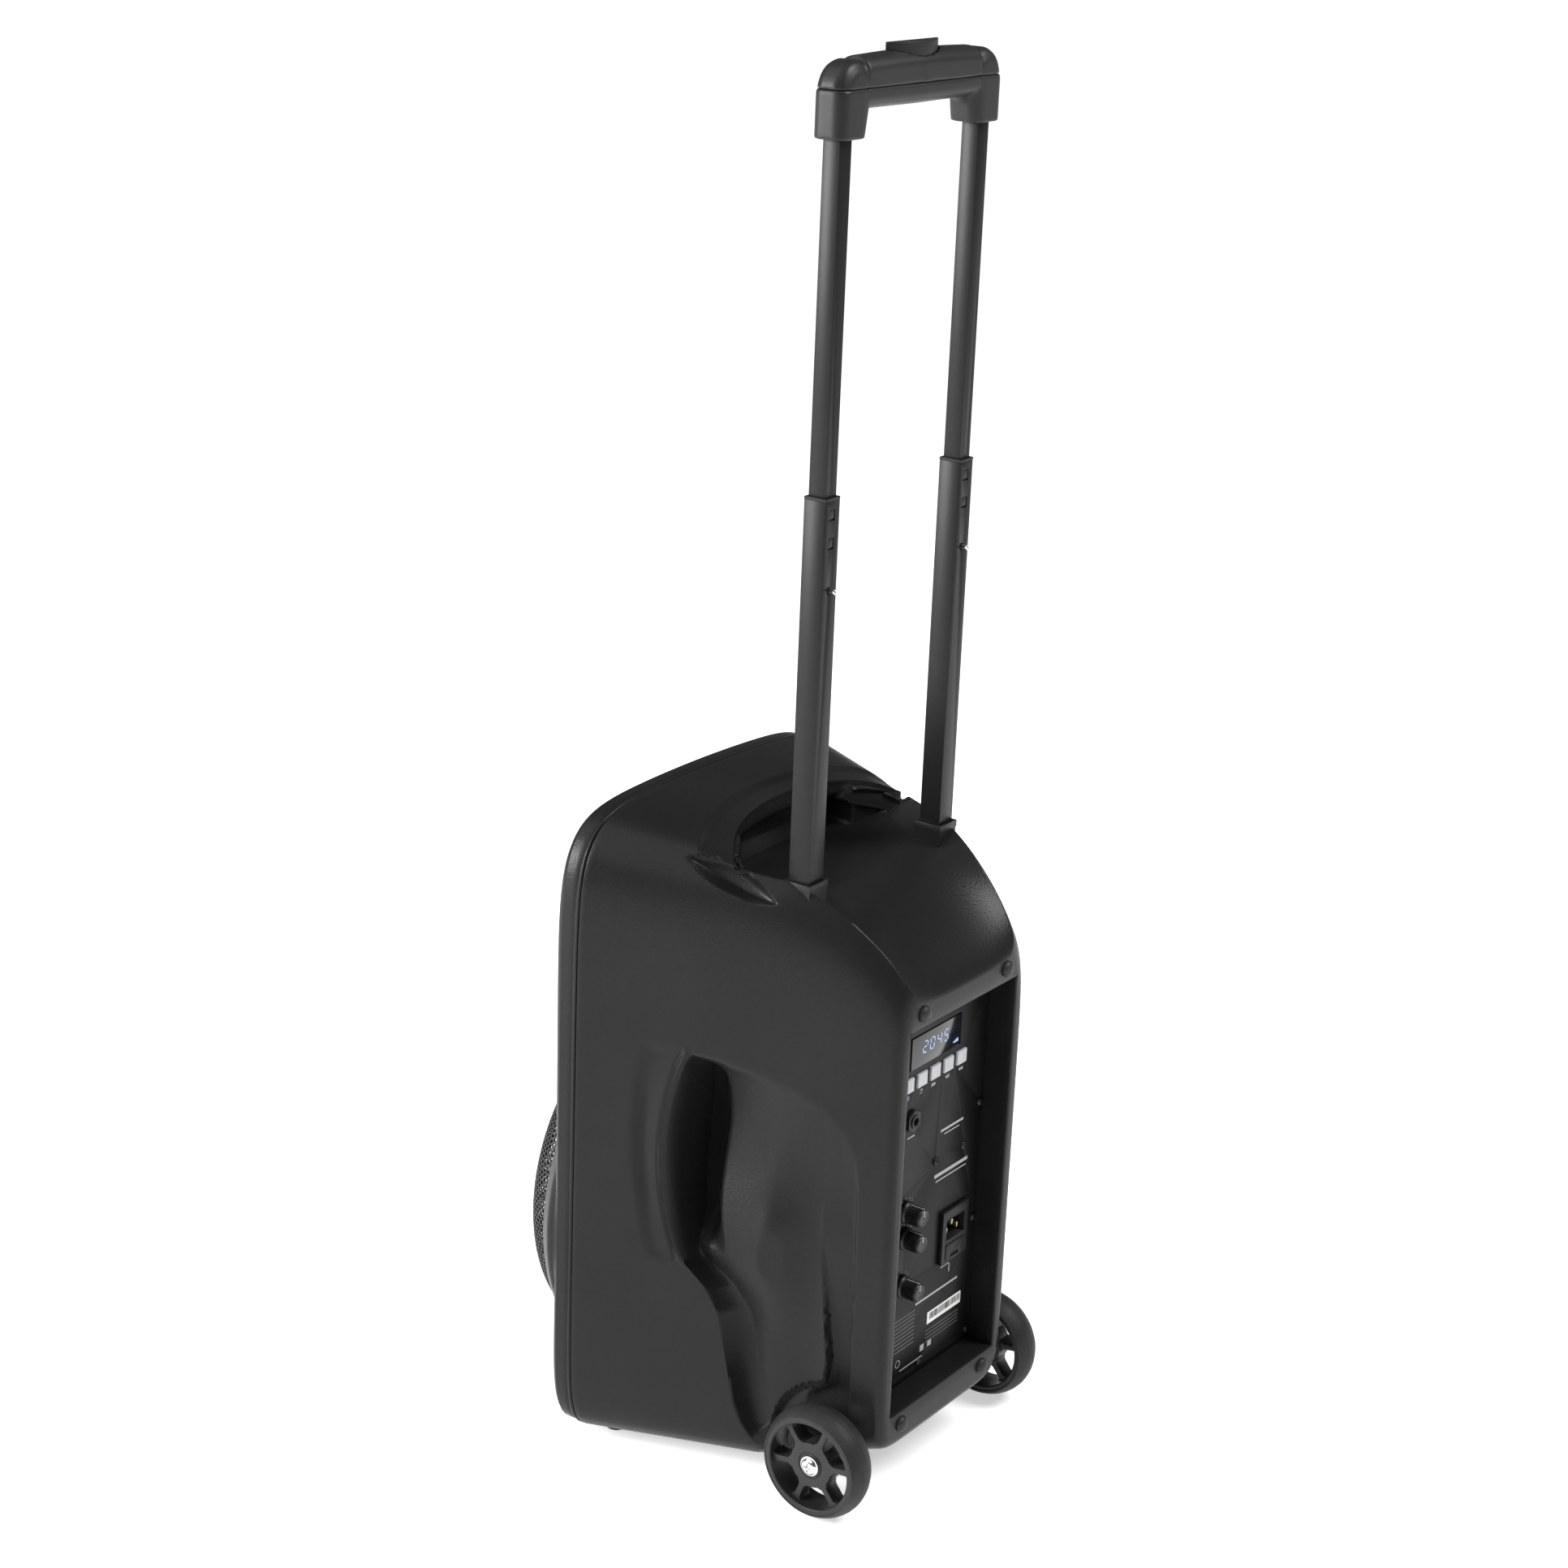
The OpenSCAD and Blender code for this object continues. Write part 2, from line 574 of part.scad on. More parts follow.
module amp_board() {
    y1 = back_y - 54;
    color([0.05, 0.3, 0.12])
    union() {
        bar(-56, 56, y1 - 1.6, y1, 196, 344);
        for (i = [0:2]) {
            translate([-36 + 24 * i, y1 - 1.6 - 24, 320]) rod_y(9, 0, 24.5, 32);
        }
        bar(-48, -20, y1 - 16, y1 - 1.5, 206, 240);
        bar(10, 44, y1 - 12, y1 - 1.5, 250, 282);
    }
}
module heat_sink() {
    y1 = panel_face_y - 2.2;
    color([0.6, 0.6, 0.62])
    difference() {
        union() {
            bar(-56, 2, y1 - 4, y1, 220, 250);
            for (i = [0:7]) {
                bar(-55 + 7.7 * i, -53 + 7.7 * i, y1 - 22, y1 - 3, 220, 250);
            }
        }
        for (p = sink_screw_places) {
            translate([p[0], 0, p[1]]) rod_y(1.7, y1 - 10, y1 + 1, 24);
        }
    }
}
module power_supply() {
    y1 = back_y - 60;
    color([0.7, 0.7, 0.72])
    difference() {
        bar(-44, 44, y1 - 58, y1, 140, 188);
        for (i = [-5:5], j = [0:2]) {
            translate([i * 7, y1 - 2, 152 + 12 * j]) rod_y(2.2, 0, 4, 16);
        }
    }
}
module battery() {
    y0 = back_y - 132;
    color([0.2, 0.2, 0.22])
    union() {
        bar(-45, 45, y0, y0 + 70, 31, 126);
        bar(-42, 42, y0 + 3, y0 + 67, 125, 129);
        bar(-38, -32, y0 + 12, y0 + 18, 128, 133);
        bar(32, 38, y0 + 12, y0 + 18, 128, 133);
    }
}
module battery_strap() {
    y0 = back_y - 132;
    color([0.55, 0.55, 0.57])
    difference() {
        bar(-47.5, 47.5, y0 + 28, y0 + 46, 24, 131.6);
        bar(-45.3, 45.3, y0 + 27, y0 + 47, 20, 129.4);
    }
    color([0.55, 0.55, 0.57])
    for (s = [-1, 1]) {
        bar(s > 0 ? 47.4 : -60, s > 0 ? 60 : -47.4, y0 + 28, y0 + 46, 24, 26);
    }
}
module display_module() {
    y1 = panel_face_y + 0.8;
    color([0.02, 0.02, 0.03])
    union() {
        bar(display_x - 32, display_x + 32, y1 - 8, y1, display_z - 12, display_z + 12);
        bar(display_x - 36, display_x + 36, y1 - 20, y1 - 7.9, display_z - 15, display_z + 14);
    }
}
module media_key(i) {
    y1 = panel_face_y + 1.6;
    color([0.6, 0.6, 0.6])
    translate([i * key_pitch, 0, key_z]) {
        hull() {
            bar(-6.1, 6.1, y1 - 5, y1 - 0.5, -5.3, 5.3);
            bar(-5.6, 5.6, y1 - 5, y1, -4.8, 4.8);
        }
    }
}
module mic_jack() {
    y1 = panel_face_y;
    color([0.15, 0.15, 0.16])
    translate([jack_x, 0, jack_z])
    difference() {
        union() {
            translate([0, y1 + 0.2, 0]) rotate([-90, 30, 0]) cylinder(r = 8.7, h = 2.6, $fn = 6);
            rod_y(5, y1 - 2.2, y1 + 4, 40);
            bar(-8, 8, y1 - 30, y1 - 2.2, -8, 8);
        }
        rod_y(3.2, y1 - 26, y1 + 5, 48);
    }
}
module mains_inlet() {
    y1 = panel_face_y + 3.2;
    color([0.05, 0.05, 0.05])
    translate([inlet_x, 0, inlet_z])
    difference() {
        union() {
            bar(-17, 17, y1 - 3, y1, -21, 21);
            bar(-14, 14, y1 - 30, y1 - 2.9, -18, 18);
        }
        bar(-12, 12, y1 - 19, y1 + 1, -2.5, 13.6);
        bar(-12.4, 12.4, y1 - 27, y1 + 1, -18, -6);
    }
}
module inlet_pins() {
    y1 = panel_face_y + 3.2;
    color([0.75, 0.72, 0.6])
    translate([inlet_x, 0, inlet_z])
    for (p = [[-7, 3], [0, 8], [7, 3]]) {
        bar(p[0] - 1, p[0] + 1, y1 - 18.99, y1 - 3, p[1] - 2, p[1] + 2);
    }
}
module fuse_drawer() {
    y1 = panel_face_y + 3.2;
    color([0.07, 0.07, 0.07])
    translate([inlet_x, 0, inlet_z])
    difference() {
        union() {
            bar(-12, 12, y1 - 25, y1 + 0.6, -17.6, -6.4);
        }
        bar(-9, 9, y1 - 23, y1 - 4, -15, -5);
        bar(-5, 5, y1 - 1, y1 + 2, -17.7, -15.4);
    }
}
rocker_tilt = 11;
module switch_bezel() {
    y1 = panel_face_y + 1.6;
    color([0.06, 0.06, 0.06])
    translate([switch_x, 0, switch_z])
    difference() {
        union() {
            bar(-7.6, 7.6, y1 - 1.5, y1, -10.6, 10.6);
            bar(-6.6, 6.6, y1 - 18, y1 - 1.4, -9.6, 9.6);
        }
        bar(-5.2, 5.2, y1 - 14, y1 + 1, -8.4, 8.4);
    }
}
module power_rocker() {
    y1 = panel_face_y + 1.6;
    pivot_y = y1 - 6;
    color([0.08, 0.08, 0.08])
    translate([switch_x, pivot_y, switch_z])
    rotate([rocker_tilt, 0, 0])
    difference() {
        intersection() {
            rod_x(8, -4.8, 4.8, 64);
            bar(-5, 5, -3, 6.6, -7.6, 7.6);
        }
        translate([0, 14.6, 0]) rod_x(9, -6, 6, 64);
    }
}
module potentiometers() {
    y1 = panel_face_y - 2.2;
    color([0.5, 0.5, 0.52])
    for (z = knob_zs) {
        translate([knob_x, 0, z]) {
            union() {
                bar(-8, 8, y1 - 10, y1, -8, 8);
                rod_y(3.4, y1 - 0.1, panel_face_y + 1, 32);
                rod_y(3, y1 - 0.1, panel_face_y + 11, 32);
            }
        }
    }
}
module knob(i) {
    y0 = panel_face_y + 1.4;
    color([0.12, 0.12, 0.12])
    translate([knob_x, 0, knob_zs[i]])
    difference() {
        union() {
            lathe_y([[0, y0], [8.6, y0], [8.6, y0 + 2], [7.2, y0 + 3], [6.6, y0 + 14], [5.8, y0 + 15], [0, y0 + 15]], 48);
            bar(-0.8, 0.8, y0 + 2, y0 + 14.6, 0, 7.3);
        }
        rod_y(3.05, y0 - 1, y0 + 10.4, 32);
    }
}
module label_plate() {
    color([0.85, 0.85, 0.83])
    bar(-54, -9, panel_face_y + 0.05, panel_face_y + 0.35, 102.8, 112.4);
}

// ---- Trolley ----
guide_z0 = 136;
mid_z0 = 400;
upper_z0 = 648;
pin_z = 665.6;
window_drops = [11.6, 31];
module socket(s) {
    color([0.06, 0.06, 0.06])
    translate([s * leg_x, leg_y, 0]) {
        difference() {
            union() {
                bar(-11.1, 11.1, -11.1, 11.1, socket_z - 5, socket_z);
                bar(-10.7, 10.7, -10.7, 10.7, 436, socket_z - 4.9);
            }
            translate([-mid_side / 2 - gap, -mid_side / 2 - gap, 430]) cube([mid_side + 2 * gap, mid_side + 2 * gap, 40]);
        }
    }
}
module guide_tube(s) {
    color([0.5, 0.5, 0.5])
    translate([s * leg_x, leg_y, 0]) square_tube(mid_side + 3, mid_side + 0.6, guide_z0, 435.8);
}
tube_wall = 1;
mid_bore = mid_side - 2 * tube_wall;
module mid_tube(s) {
    color([0.08, 0.08, 0.085])
    translate([s * leg_x, leg_y, 0])
    difference() {
        square_tube(mid_side, mid_bore, mid_z0, collar_z - 2);
        for (drop = window_drops) {
            bar(-3.2, 3.2, 0, 20, collar_z - drop - 3.8, collar_z - drop + 3.8);
        }
        translate([0, 0, pin_z]) rod_y(2.6, 0, 20, 24);
    }
}
module collar(s) {
    bush_z0 = collar_z - 40;
    bush = mid_bore / 2 - 0.1;
    color([0.1, 0.1, 0.1])
    translate([s * leg_x, leg_y, 0])
    difference() {
        union() {
            bar(-mid_side / 2 - 0.2, mid_side / 2 + 0.2, -mid_side / 2 - 0.2, mid_side / 2 + 0.2,
                collar_z - 1.9, collar_z);
            bar(-bush, bush, -bush, bush, bush_z0, collar_z - 1.8);
            for (drop = window_drops) {
                bar(-2.9, 2.9, 5, mid_side / 2 - 0.3, collar_z - drop - 2.6, collar_z - drop + 3.5);
            }
        }
        translate([-upper_side / 2 - 0.25, -upper_side / 2 - 0.25, bush_z0 - 1])
            cube([upper_side + 0.5, upper_side + 0.5, 60]);
    }
}
module upper_tube(s) {
    color([0.08, 0.08, 0.085])
    translate([s * leg_x, leg_y, 0])
    difference() {
        square_tube(upper_side, upper_side - 2 * tube_wall, upper_z0, grip_z + 22);
        translate([0, 0, pin_z]) rod_y(2.4, 0, 20, 24);
    }
}
module lock_pins() {
    color([0.8, 0.8, 0.8])
    for (s = [-1, 1]) {
        translate([s * leg_x, leg_y, pin_z])
        lathe_y([[0, 3.6], [3.6, 3.6], [3.6, 5], [2, 5], [2, mid_side / 2 + 5.4], [1.2, mid_side / 2 + 6.4],
            [0, mid_side / 2 + 6.4]], 32);
    }
}

// ---- Grip: two bowed mouldings that part along a level line ----
grip_top_z = 1010.6;
grip_part_z = 989.6;
grip_leg_x = 79.7;
grip_leg_w = 31;
grip_leg_deep = 25;
button_len = 60;
button_z = 1015.4;
// Oval cross-section of the bar at x, as [half depth, bottom, top]
function bar_section(x) = let (t = clamp01(abs(x) / 62)) [13.4 - 1.2 * t, 975.2 + 0.4 * t, grip_top_z - 1.4 * t * t];
module grip_slice(x, thick) {
    s = bar_section(x);
    hull() {
        translate([x, leg_y, s[2] - 9]) rotate([0, 90, 0]) scale([9 / s[0], 1, 1])
            cylinder(r = s[0], h = thick, center = true, $fn = 32);
        translate([x, leg_y, s[1] + 8]) rotate([0, 90, 0]) scale([8 / s[0], 1, 1])
            cylinder(r = s[0], h = thick, center = true, $fn = 32);
    }
}
module grip_leg(s) {
    corner = 8;
    shoulder = 19;
    outer_x = grip_leg_x + grip_leg_w / 2;
    hull() {
        for (x = [-1, 1], y = [-1, 1]) {
            translate([s * grip_leg_x + x * (grip_leg_w / 2 - corner), leg_y + y * (grip_leg_deep / 2 - corner), grip_z])
                cylinder(r = corner, h = 28, $fn = 24);
        }
        translate([s * (outer_x - shoulder), leg_y, grip_top_z - 3 - shoulder]) {
            rod_y(shoulder, -5, 5, 40);
            rod_y(shoulder - 2.4, -9.4, 9.4, 40);
            rod_y(shoulder - 8, -12, 12, 40);
        }
    }
}
module grip_body() {
    union() {
        for (i = [-3:2]) {
            hull() {
                grip_slice(i * 22 + 0.5, 1);
                grip_slice(i * 22 + 21.5, 1);
            }
        }
        for (s = [-1, 1]) {
            grip_leg(s);
        }
        // Webs that carry the legs into the bar
        for (s = [-1, 1]) {
            hull() {
                translate([s * 60, leg_y, 984]) rotate([0, 90, 0]) cylinder(r = 10, h = 4, center = true, $fn = 24);
                translate([s * 70, leg_y, 972]) rotate([0, 90, 0]) cylinder(r = 8, h = 4, center = true, $fn = 24);
                translate([s * 70, leg_y, 990]) rotate([0, 90, 0]) cylinder(r = 11, h = 4, center = true, $fn = 24);
            }
        }
    }
}
// The button is a D seen from above, with its bowed side to the rear
button_bow = 46;
module button_well(grow) {
    intersection() {
        translate([0, leg_y + 10.5 - button_bow, 996]) cylinder(r = button_bow + grow, h = 30, $fn = 96);
        bar(-button_len / 2 - grow, button_len / 2 + grow, leg_y - 1.5 - grow, leg_y + 12, 990, 1030);
    }
}
module rod_space(s, r, z0, z1) {
    translate([s * leg_x, leg_y, z0]) cylinder(r = r, h = z1 - z0, $fn = 24);
}
module grip_hollows() {
    for (s = [-1, 1]) {
        translate([s * leg_x - upper_side / 2 - 0.1, leg_y - upper_side / 2 - 0.1, grip_z - 1])
            cube([upper_side + 0.2, upper_side + 0.2, 23.2]);
        rod_space(s, 4, grip_z + 20, grip_z + 46);
    }
    bar(-leg_x - 4, leg_x + 4, leg_y - 3, leg_y + 3, grip_part_z - 4, grip_part_z + 8);
}
module grip_lower() {
    color([0.1, 0.1, 0.1])
    difference() {
        intersection() {
            grip_body();
            bar(-110, 110, leg_y - 30, leg_y + 30, grip_z - 5, grip_part_z);
        }
        grip_hollows();
    }
}
module grip_cover() {
    color([0.1, 0.1, 0.1])
    difference() {
        intersection() {
            grip_body();
            bar(-110, 110, leg_y - 30, leg_y + 30, grip_part_z, grip_top_z + 10);
        }
        grip_hollows();
        button_well(0.5);
        bar(-5, 5, leg_y - 3, leg_y + 3, grip_part_z - 1, 1002);
    }
}
// Underside of the bar that the button presses on the two rods
push_bar_z = grip_part_z + 2.2;
module release_button() {
    color([0.12, 0.12, 0.12])
    union() {
        intersection() {
            button_well(0);
            bar(-60, 60, leg_y - 30, leg_y + 30, 1001, button_z);
        }
        bar(-4, 4, leg_y - 2.4, leg_y + 2.4, grip_part_z + 4.2, 1001.5);
        bar(-leg_x - 3, leg_x + 3, leg_y - 2.4, leg_y + 2.4, push_bar_z, push_bar_z + 4);
    }
}
module push_rods() {
    color([0.7, 0.7, 0.7])
    for (s = [-1, 1]) {
        union() {
            translate([s * leg_x, leg_y, pin_z + 8]) cylinder(r = 2, h = push_bar_z - pin_z - 8, $fn = 24);
            translate([s * leg_x, leg_y, pin_z + 5]) cylinder(r1 = 1, r2 = 2, h = 3.1, $fn = 24);
        }
    }
}

// ---- Wheels ----
hub_r = 17.3;
ring_in_r = 32.8;
ring_out_r = 36.4;
tyre_face_r = 37.9;
bore_r = 4.05;
hub_sink = 3.6;
spoke_phase = 39;
module wheel(s) {
    x1 = wheel_x - 0.2;
    face = wheel_x - hub_sink;
    x0 = wheel_x - wheel_w + 1.2;
    color([0.07, 0.07, 0.07])
    mirror([s > 0 ? 0 : 1, 0, 0])
    translate([0, axle_y, tyre_r])
    difference() {
        union() {
            difference() {
                rod_x(ring_out_r, x0, x1, 96);
                rod_x(ring_in_r, x0 - 1, x1 + 1, 96);
            }
            rod_x(hub_r, x0 + 4, face, 64);
            rod_x(9, x0, face, 48);
            for (i = [0:5]) {
                rotate([60 * i + spoke_phase, 0, 0]) bar(x0 + 8, face - 0.6, -2.2, 2.2, hub_r - 2, ring_in_r + 1);
            }
        }
        rod_x(bore_r, x0 - 1, x1 + 1, 48);
    }
}
module tyre(s) {
    x1 = wheel_x;
    x0 = wheel_x - wheel_w;
    color([0.09, 0.09, 0.09])
    mirror([s > 0 ? 0 : 1, 0, 0])
    translate([0, axle_y, tyre_r])
    rotate([0, 90, 0])
    rotate_extrude($fn = 96)
    polygon(concat([[ring_out_r + 0.02, x0]],
        [for (i = [0:12]) let (t = i / 6 - 1)
            [tyre_face_r + (tyre_r - tyre_face_r) * (1 - t * t), lerp(x0, x1, i / 12)]],
        [[ring_out_r + 0.02, x1]]));
}
module wheel_screw(s) {
    x_face = wheel_x - hub_sink;
    color([0.75, 0.75, 0.76])
    mirror([s > 0 ? 0 : 1, 0, 0])
    translate([0, axle_y, tyre_r])
    difference() {
        union() {
            rod_x(7.4, x_face + gap, x_face + gap + 1.2, 48);
            rotate([0, 90, 0]) rotate_extrude($fn = 48)
                polygon([[0, x_face + 1], [6.2, x_face + 1], [6.2, x_face + 2.4], [5, x_face + 3.6], [2.6, x_face + 4.3],
                    [0, x_face + 4.4]]);
            rod_x(4, 78, x_face + 1.2, 48);
        }
        bar(x_face + 2.6, x_face + 6, -3.2, 3.2, -0.6, 0.6);
        bar(x_face + 2.6, x_face + 6, -0.6, 0.6, -3.2, 3.2);
    }
}

rear_shell();
handle_cup();
front_shell();
woofer_grille();
light_ring();
woofer_basket();
woofer_surround();
woofer_cone();
dust_cap();
woofer_magnet();
tweeter_horn();
tweeter_driver();
shell_screws();
front_feet();
back_bumpers();
amp_panel();
panel_screws();
amp_board();
heat_sink();
power_supply();
battery();
battery_strap();
display_module();
mic_jack();
mains_inlet();
inlet_pins();
fuse_drawer();
switch_bezel();
power_rocker();
potentiometers();
label_plate();
media_key(2);  // mode_key
media_key(1);  // repeat_key
media_key(0);  // previous_key
media_key(-1);  // play_key
media_key(-2);  // next_key
knob(0);  // mic_knob
knob(1);  // echo_knob
knob(2);  // volume_knob
socket(-1);  // socket_left
socket(1);  // socket_right
guide_tube(-1);  // guide_tube_left
guide_tube(1);  // guide_tube_right
mid_tube(-1);  // mid_tube_left
mid_tube(1);  // mid_tube_right
collar(-1);  // collar_left
collar(1);  // collar_right
upper_tube(-1);  // upper_tube_left
upper_tube(1);  // upper_tube_right
lock_pins();
grip_lower();
grip_cover();
release_button();
push_rods();
wheel(-1);  // wheel_left
wheel(1);  // wheel_right
tyre(-1);  // tyre_left
tyre(1);  // tyre_right
wheel_screw(-1);  // wheel_screw_left
wheel_screw(1);  // wheel_screw_right
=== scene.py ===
import json
import math
import bpy
import numpy as np
from mathutils import Matrix, Vector

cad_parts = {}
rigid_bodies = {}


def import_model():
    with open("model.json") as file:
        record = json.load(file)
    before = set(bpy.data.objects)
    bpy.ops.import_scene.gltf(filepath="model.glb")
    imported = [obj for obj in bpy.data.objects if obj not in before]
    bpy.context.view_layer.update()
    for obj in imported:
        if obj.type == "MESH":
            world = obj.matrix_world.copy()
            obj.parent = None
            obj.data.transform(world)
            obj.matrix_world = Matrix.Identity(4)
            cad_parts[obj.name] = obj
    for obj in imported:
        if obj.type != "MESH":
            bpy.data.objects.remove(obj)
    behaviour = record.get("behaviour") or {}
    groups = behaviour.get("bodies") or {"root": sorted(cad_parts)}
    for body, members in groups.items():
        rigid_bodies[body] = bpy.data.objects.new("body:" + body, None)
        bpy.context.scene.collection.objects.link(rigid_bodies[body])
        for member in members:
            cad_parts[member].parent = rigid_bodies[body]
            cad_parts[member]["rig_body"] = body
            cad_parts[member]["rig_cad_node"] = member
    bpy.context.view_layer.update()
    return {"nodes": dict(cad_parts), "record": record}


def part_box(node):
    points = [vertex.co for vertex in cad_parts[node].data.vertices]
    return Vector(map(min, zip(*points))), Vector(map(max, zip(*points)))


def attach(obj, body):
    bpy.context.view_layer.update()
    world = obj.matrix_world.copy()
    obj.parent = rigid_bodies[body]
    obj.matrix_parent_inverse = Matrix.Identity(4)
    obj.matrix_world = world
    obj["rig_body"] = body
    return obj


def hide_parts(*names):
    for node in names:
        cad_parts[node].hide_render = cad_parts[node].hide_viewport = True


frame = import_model()
mm = 0.001
record = frame["record"]
print("stage: frame loaded,", len(frame["nodes"]), "nodes")


# ---- Small tools for modelling ----
def activate(piece):
    if bpy.context.object and bpy.context.object.mode != "OBJECT":
        bpy.ops.object.mode_set(mode="OBJECT")
    bpy.ops.object.select_all(action="DESELECT")
    if piece:
        piece.select_set(True)
        bpy.context.view_layer.objects.active = piece


def modify(piece, kind, **settings):
    activate(piece)
    modifier = piece.modifiers.new(kind.lower(), kind)
    for key, value in settings.items():
        setattr(modifier, key, value)
    bpy.ops.object.modifier_apply(modifier=modifier.name)
    return piece


def settle(piece):
    activate(piece)
    bpy.ops.object.transform_apply(location=True, rotation=True, scale=True)
    return piece


def joined(pieces):
    activate(pieces[0])
    for piece in pieces:
        piece.select_set(True)
    if len(pieces) > 1:
        bpy.ops.object.join()
    return bpy.context.object


def cut(piece, cutter, operation="DIFFERENCE"):
    modify(piece, "BOOLEAN", operation=operation, object=cutter, solver="EXACT")
    bpy.data.objects.remove(cutter)
    return piece


def copyOf(piece):
    twin = piece.copy()
    twin.data = piece.data.copy()
    bpy.context.scene.collection.objects.link(twin)
    return twin


def mirrored(piece):
    twin = copyOf(piece)
    twin.data.transform(Matrix.Scale(-1, 4, (1, 0, 0)))
    twin.data.flip_normals()
    return twin


def block(low, high, bevel=0.0, segments=2):
    activate(None)
    low, high = Vector(low), Vector(high)
    bpy.ops.mesh.primitive_cube_add(size=1, location=(low + high) / 2, scale=high - low)
    piece = settle(bpy.context.object)
    if bevel:
        modify(piece, "BEVEL", width=bevel, segments=segments, limit_method="ANGLE")
    return piece


# A stack of outlines along +Z, each as (half width, half depth, height), turned to lie along an axis
def lofted(outlines, centre, axis="Z", steps=64, closedLoop=False, spin=0.0):
    activate(None)
    bpy.ops.mesh.primitive_circle_add(vertices=steps, radius=1, rotation=(0, 0, spin))
    piece = settle(bpy.context.object)
    bpy.ops.object.mode_set(mode="EDIT")
    before = (1, 1, 0)
    for number, outline in enumerate(outlines):
        if number:
            bpy.ops.mesh.extrude_edges_move()
        bpy.ops.transform.resize(value=(outline[0] / before[0], outline[1] / before[1], 1),
                                 center_override=(0, 0, before[2]))
        bpy.ops.transform.translate(value=(0, 0, outline[2] - before[2]))
        before = outline
    bpy.ops.mesh.select_all(action="SELECT")
    if closedLoop:
        bpy.ops.mesh.remove_doubles(threshold=mm / 100)
    else:
        bpy.ops.mesh.fill_holes(sides=0)
    bpy.ops.mesh.normals_make_consistent(inside=False)
    bpy.ops.object.mode_set(mode="OBJECT")
    piece.rotation_euler = {"X": (0, math.pi / 2, 0), "Y": (-math.pi / 2, 0, 0), "Z": (0, 0, 0)}[axis]
    piece.location = centre
    return settle(piece)


# The same, from a lathe profile of (radius, height)
def turned(profile, centre, axis="Y", steps=64, closedLoop=False):
    if closedLoop:
        profile = list(profile) + [profile[0]]
    return lofted([(r, r, h) for r, h in profile], centre, axis, steps, closedLoop)


# A merged copy of a CAD node with softened edges
def softened(node, bevel=0.3 * mm, segments=2, sharpness=40):
    piece = copyOf(frame["nodes"][node])
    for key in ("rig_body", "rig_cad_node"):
        if key in piece:
            del piece[key]
    piece.parent = None
    piece.hide_render = piece.hide_viewport = False
    piece.name = node + "_soft"
    activate(piece)
    bpy.ops.object.mode_set(mode="EDIT")
    bpy.ops.mesh.select_all(action="SELECT")
    bpy.ops.mesh.remove_doubles(threshold=mm / 200)
    bpy.ops.mesh.dissolve_limited(angle_limit=math.radians(0.4))
    bpy.ops.mesh.customdata_custom_splitnormals_clear()
    bpy.ops.object.mode_set(mode="OBJECT")
    if bevel:
        modify(piece, "BEVEL", width=bevel, segments=segments, limit_method="ANGLE",
               angle_limit=math.radians(sharpness), use_clamp_overlap=True)
    return piece


# A closed band of quads: rows of points that are joined round and end to end
def gridBand(points):
    activate(None)
    rows, columns = points.shape[:2]
    points = np.concatenate([points, points[:1]])
    points = np.concatenate([points, points[:, :1]], axis=1)
    bpy.ops.mesh.primitive_grid_add(x_subdivisions=columns, y_subdivisions=rows)
    piece = bpy.context.object
    piece.data.vertices.foreach_set("co", (points * mm).astype(np.float32).ravel())
    piece.data.update()
    activate(piece)
    bpy.ops.object.mode_set(mode="EDIT")
    bpy.ops.mesh.select_all(action="SELECT")
    bpy.ops.mesh.remove_doubles(threshold=mm / 100)
    bpy.ops.mesh.normals_make_consistent(inside=False)
    bpy.ops.object.mode_set(mode="OBJECT")
    return piece


def finished(piece, name, body, slot, nodes=(), angle=35, material=None):
    settle(piece)
    piece.name = name
    piece.data.name = name
    piece.data.materials.clear()
    piece.data.materials.append(material or finishes[slot])
    activate(piece)
    bpy.ops.object.shade_smooth_by_angle(angle=math.radians(angle))
    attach(piece, body)
    if nodes:
        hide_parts(*nodes)
    return piece


# ---- Materials ----
class Value:
    def __init__(self, finish, socket):
        self.finish = finish
        self.socket = socket

    def maths(self, operation, first, second):
        return self.finish.node("ShaderNodeMath", {"operation": operation}, {0: first, 1: second})

    def __add__(self, other):
        return self.maths("ADD", self, other)

    __radd__ = __add__

    def __sub__(self, other):
        return self.maths("SUBTRACT", self, other)

    def __rsub__(self, other):
        return self.maths("SUBTRACT", other, self)

    def __mul__(self, other):
        return self.maths("MULTIPLY", self, other)

    __rmul__ = __mul__


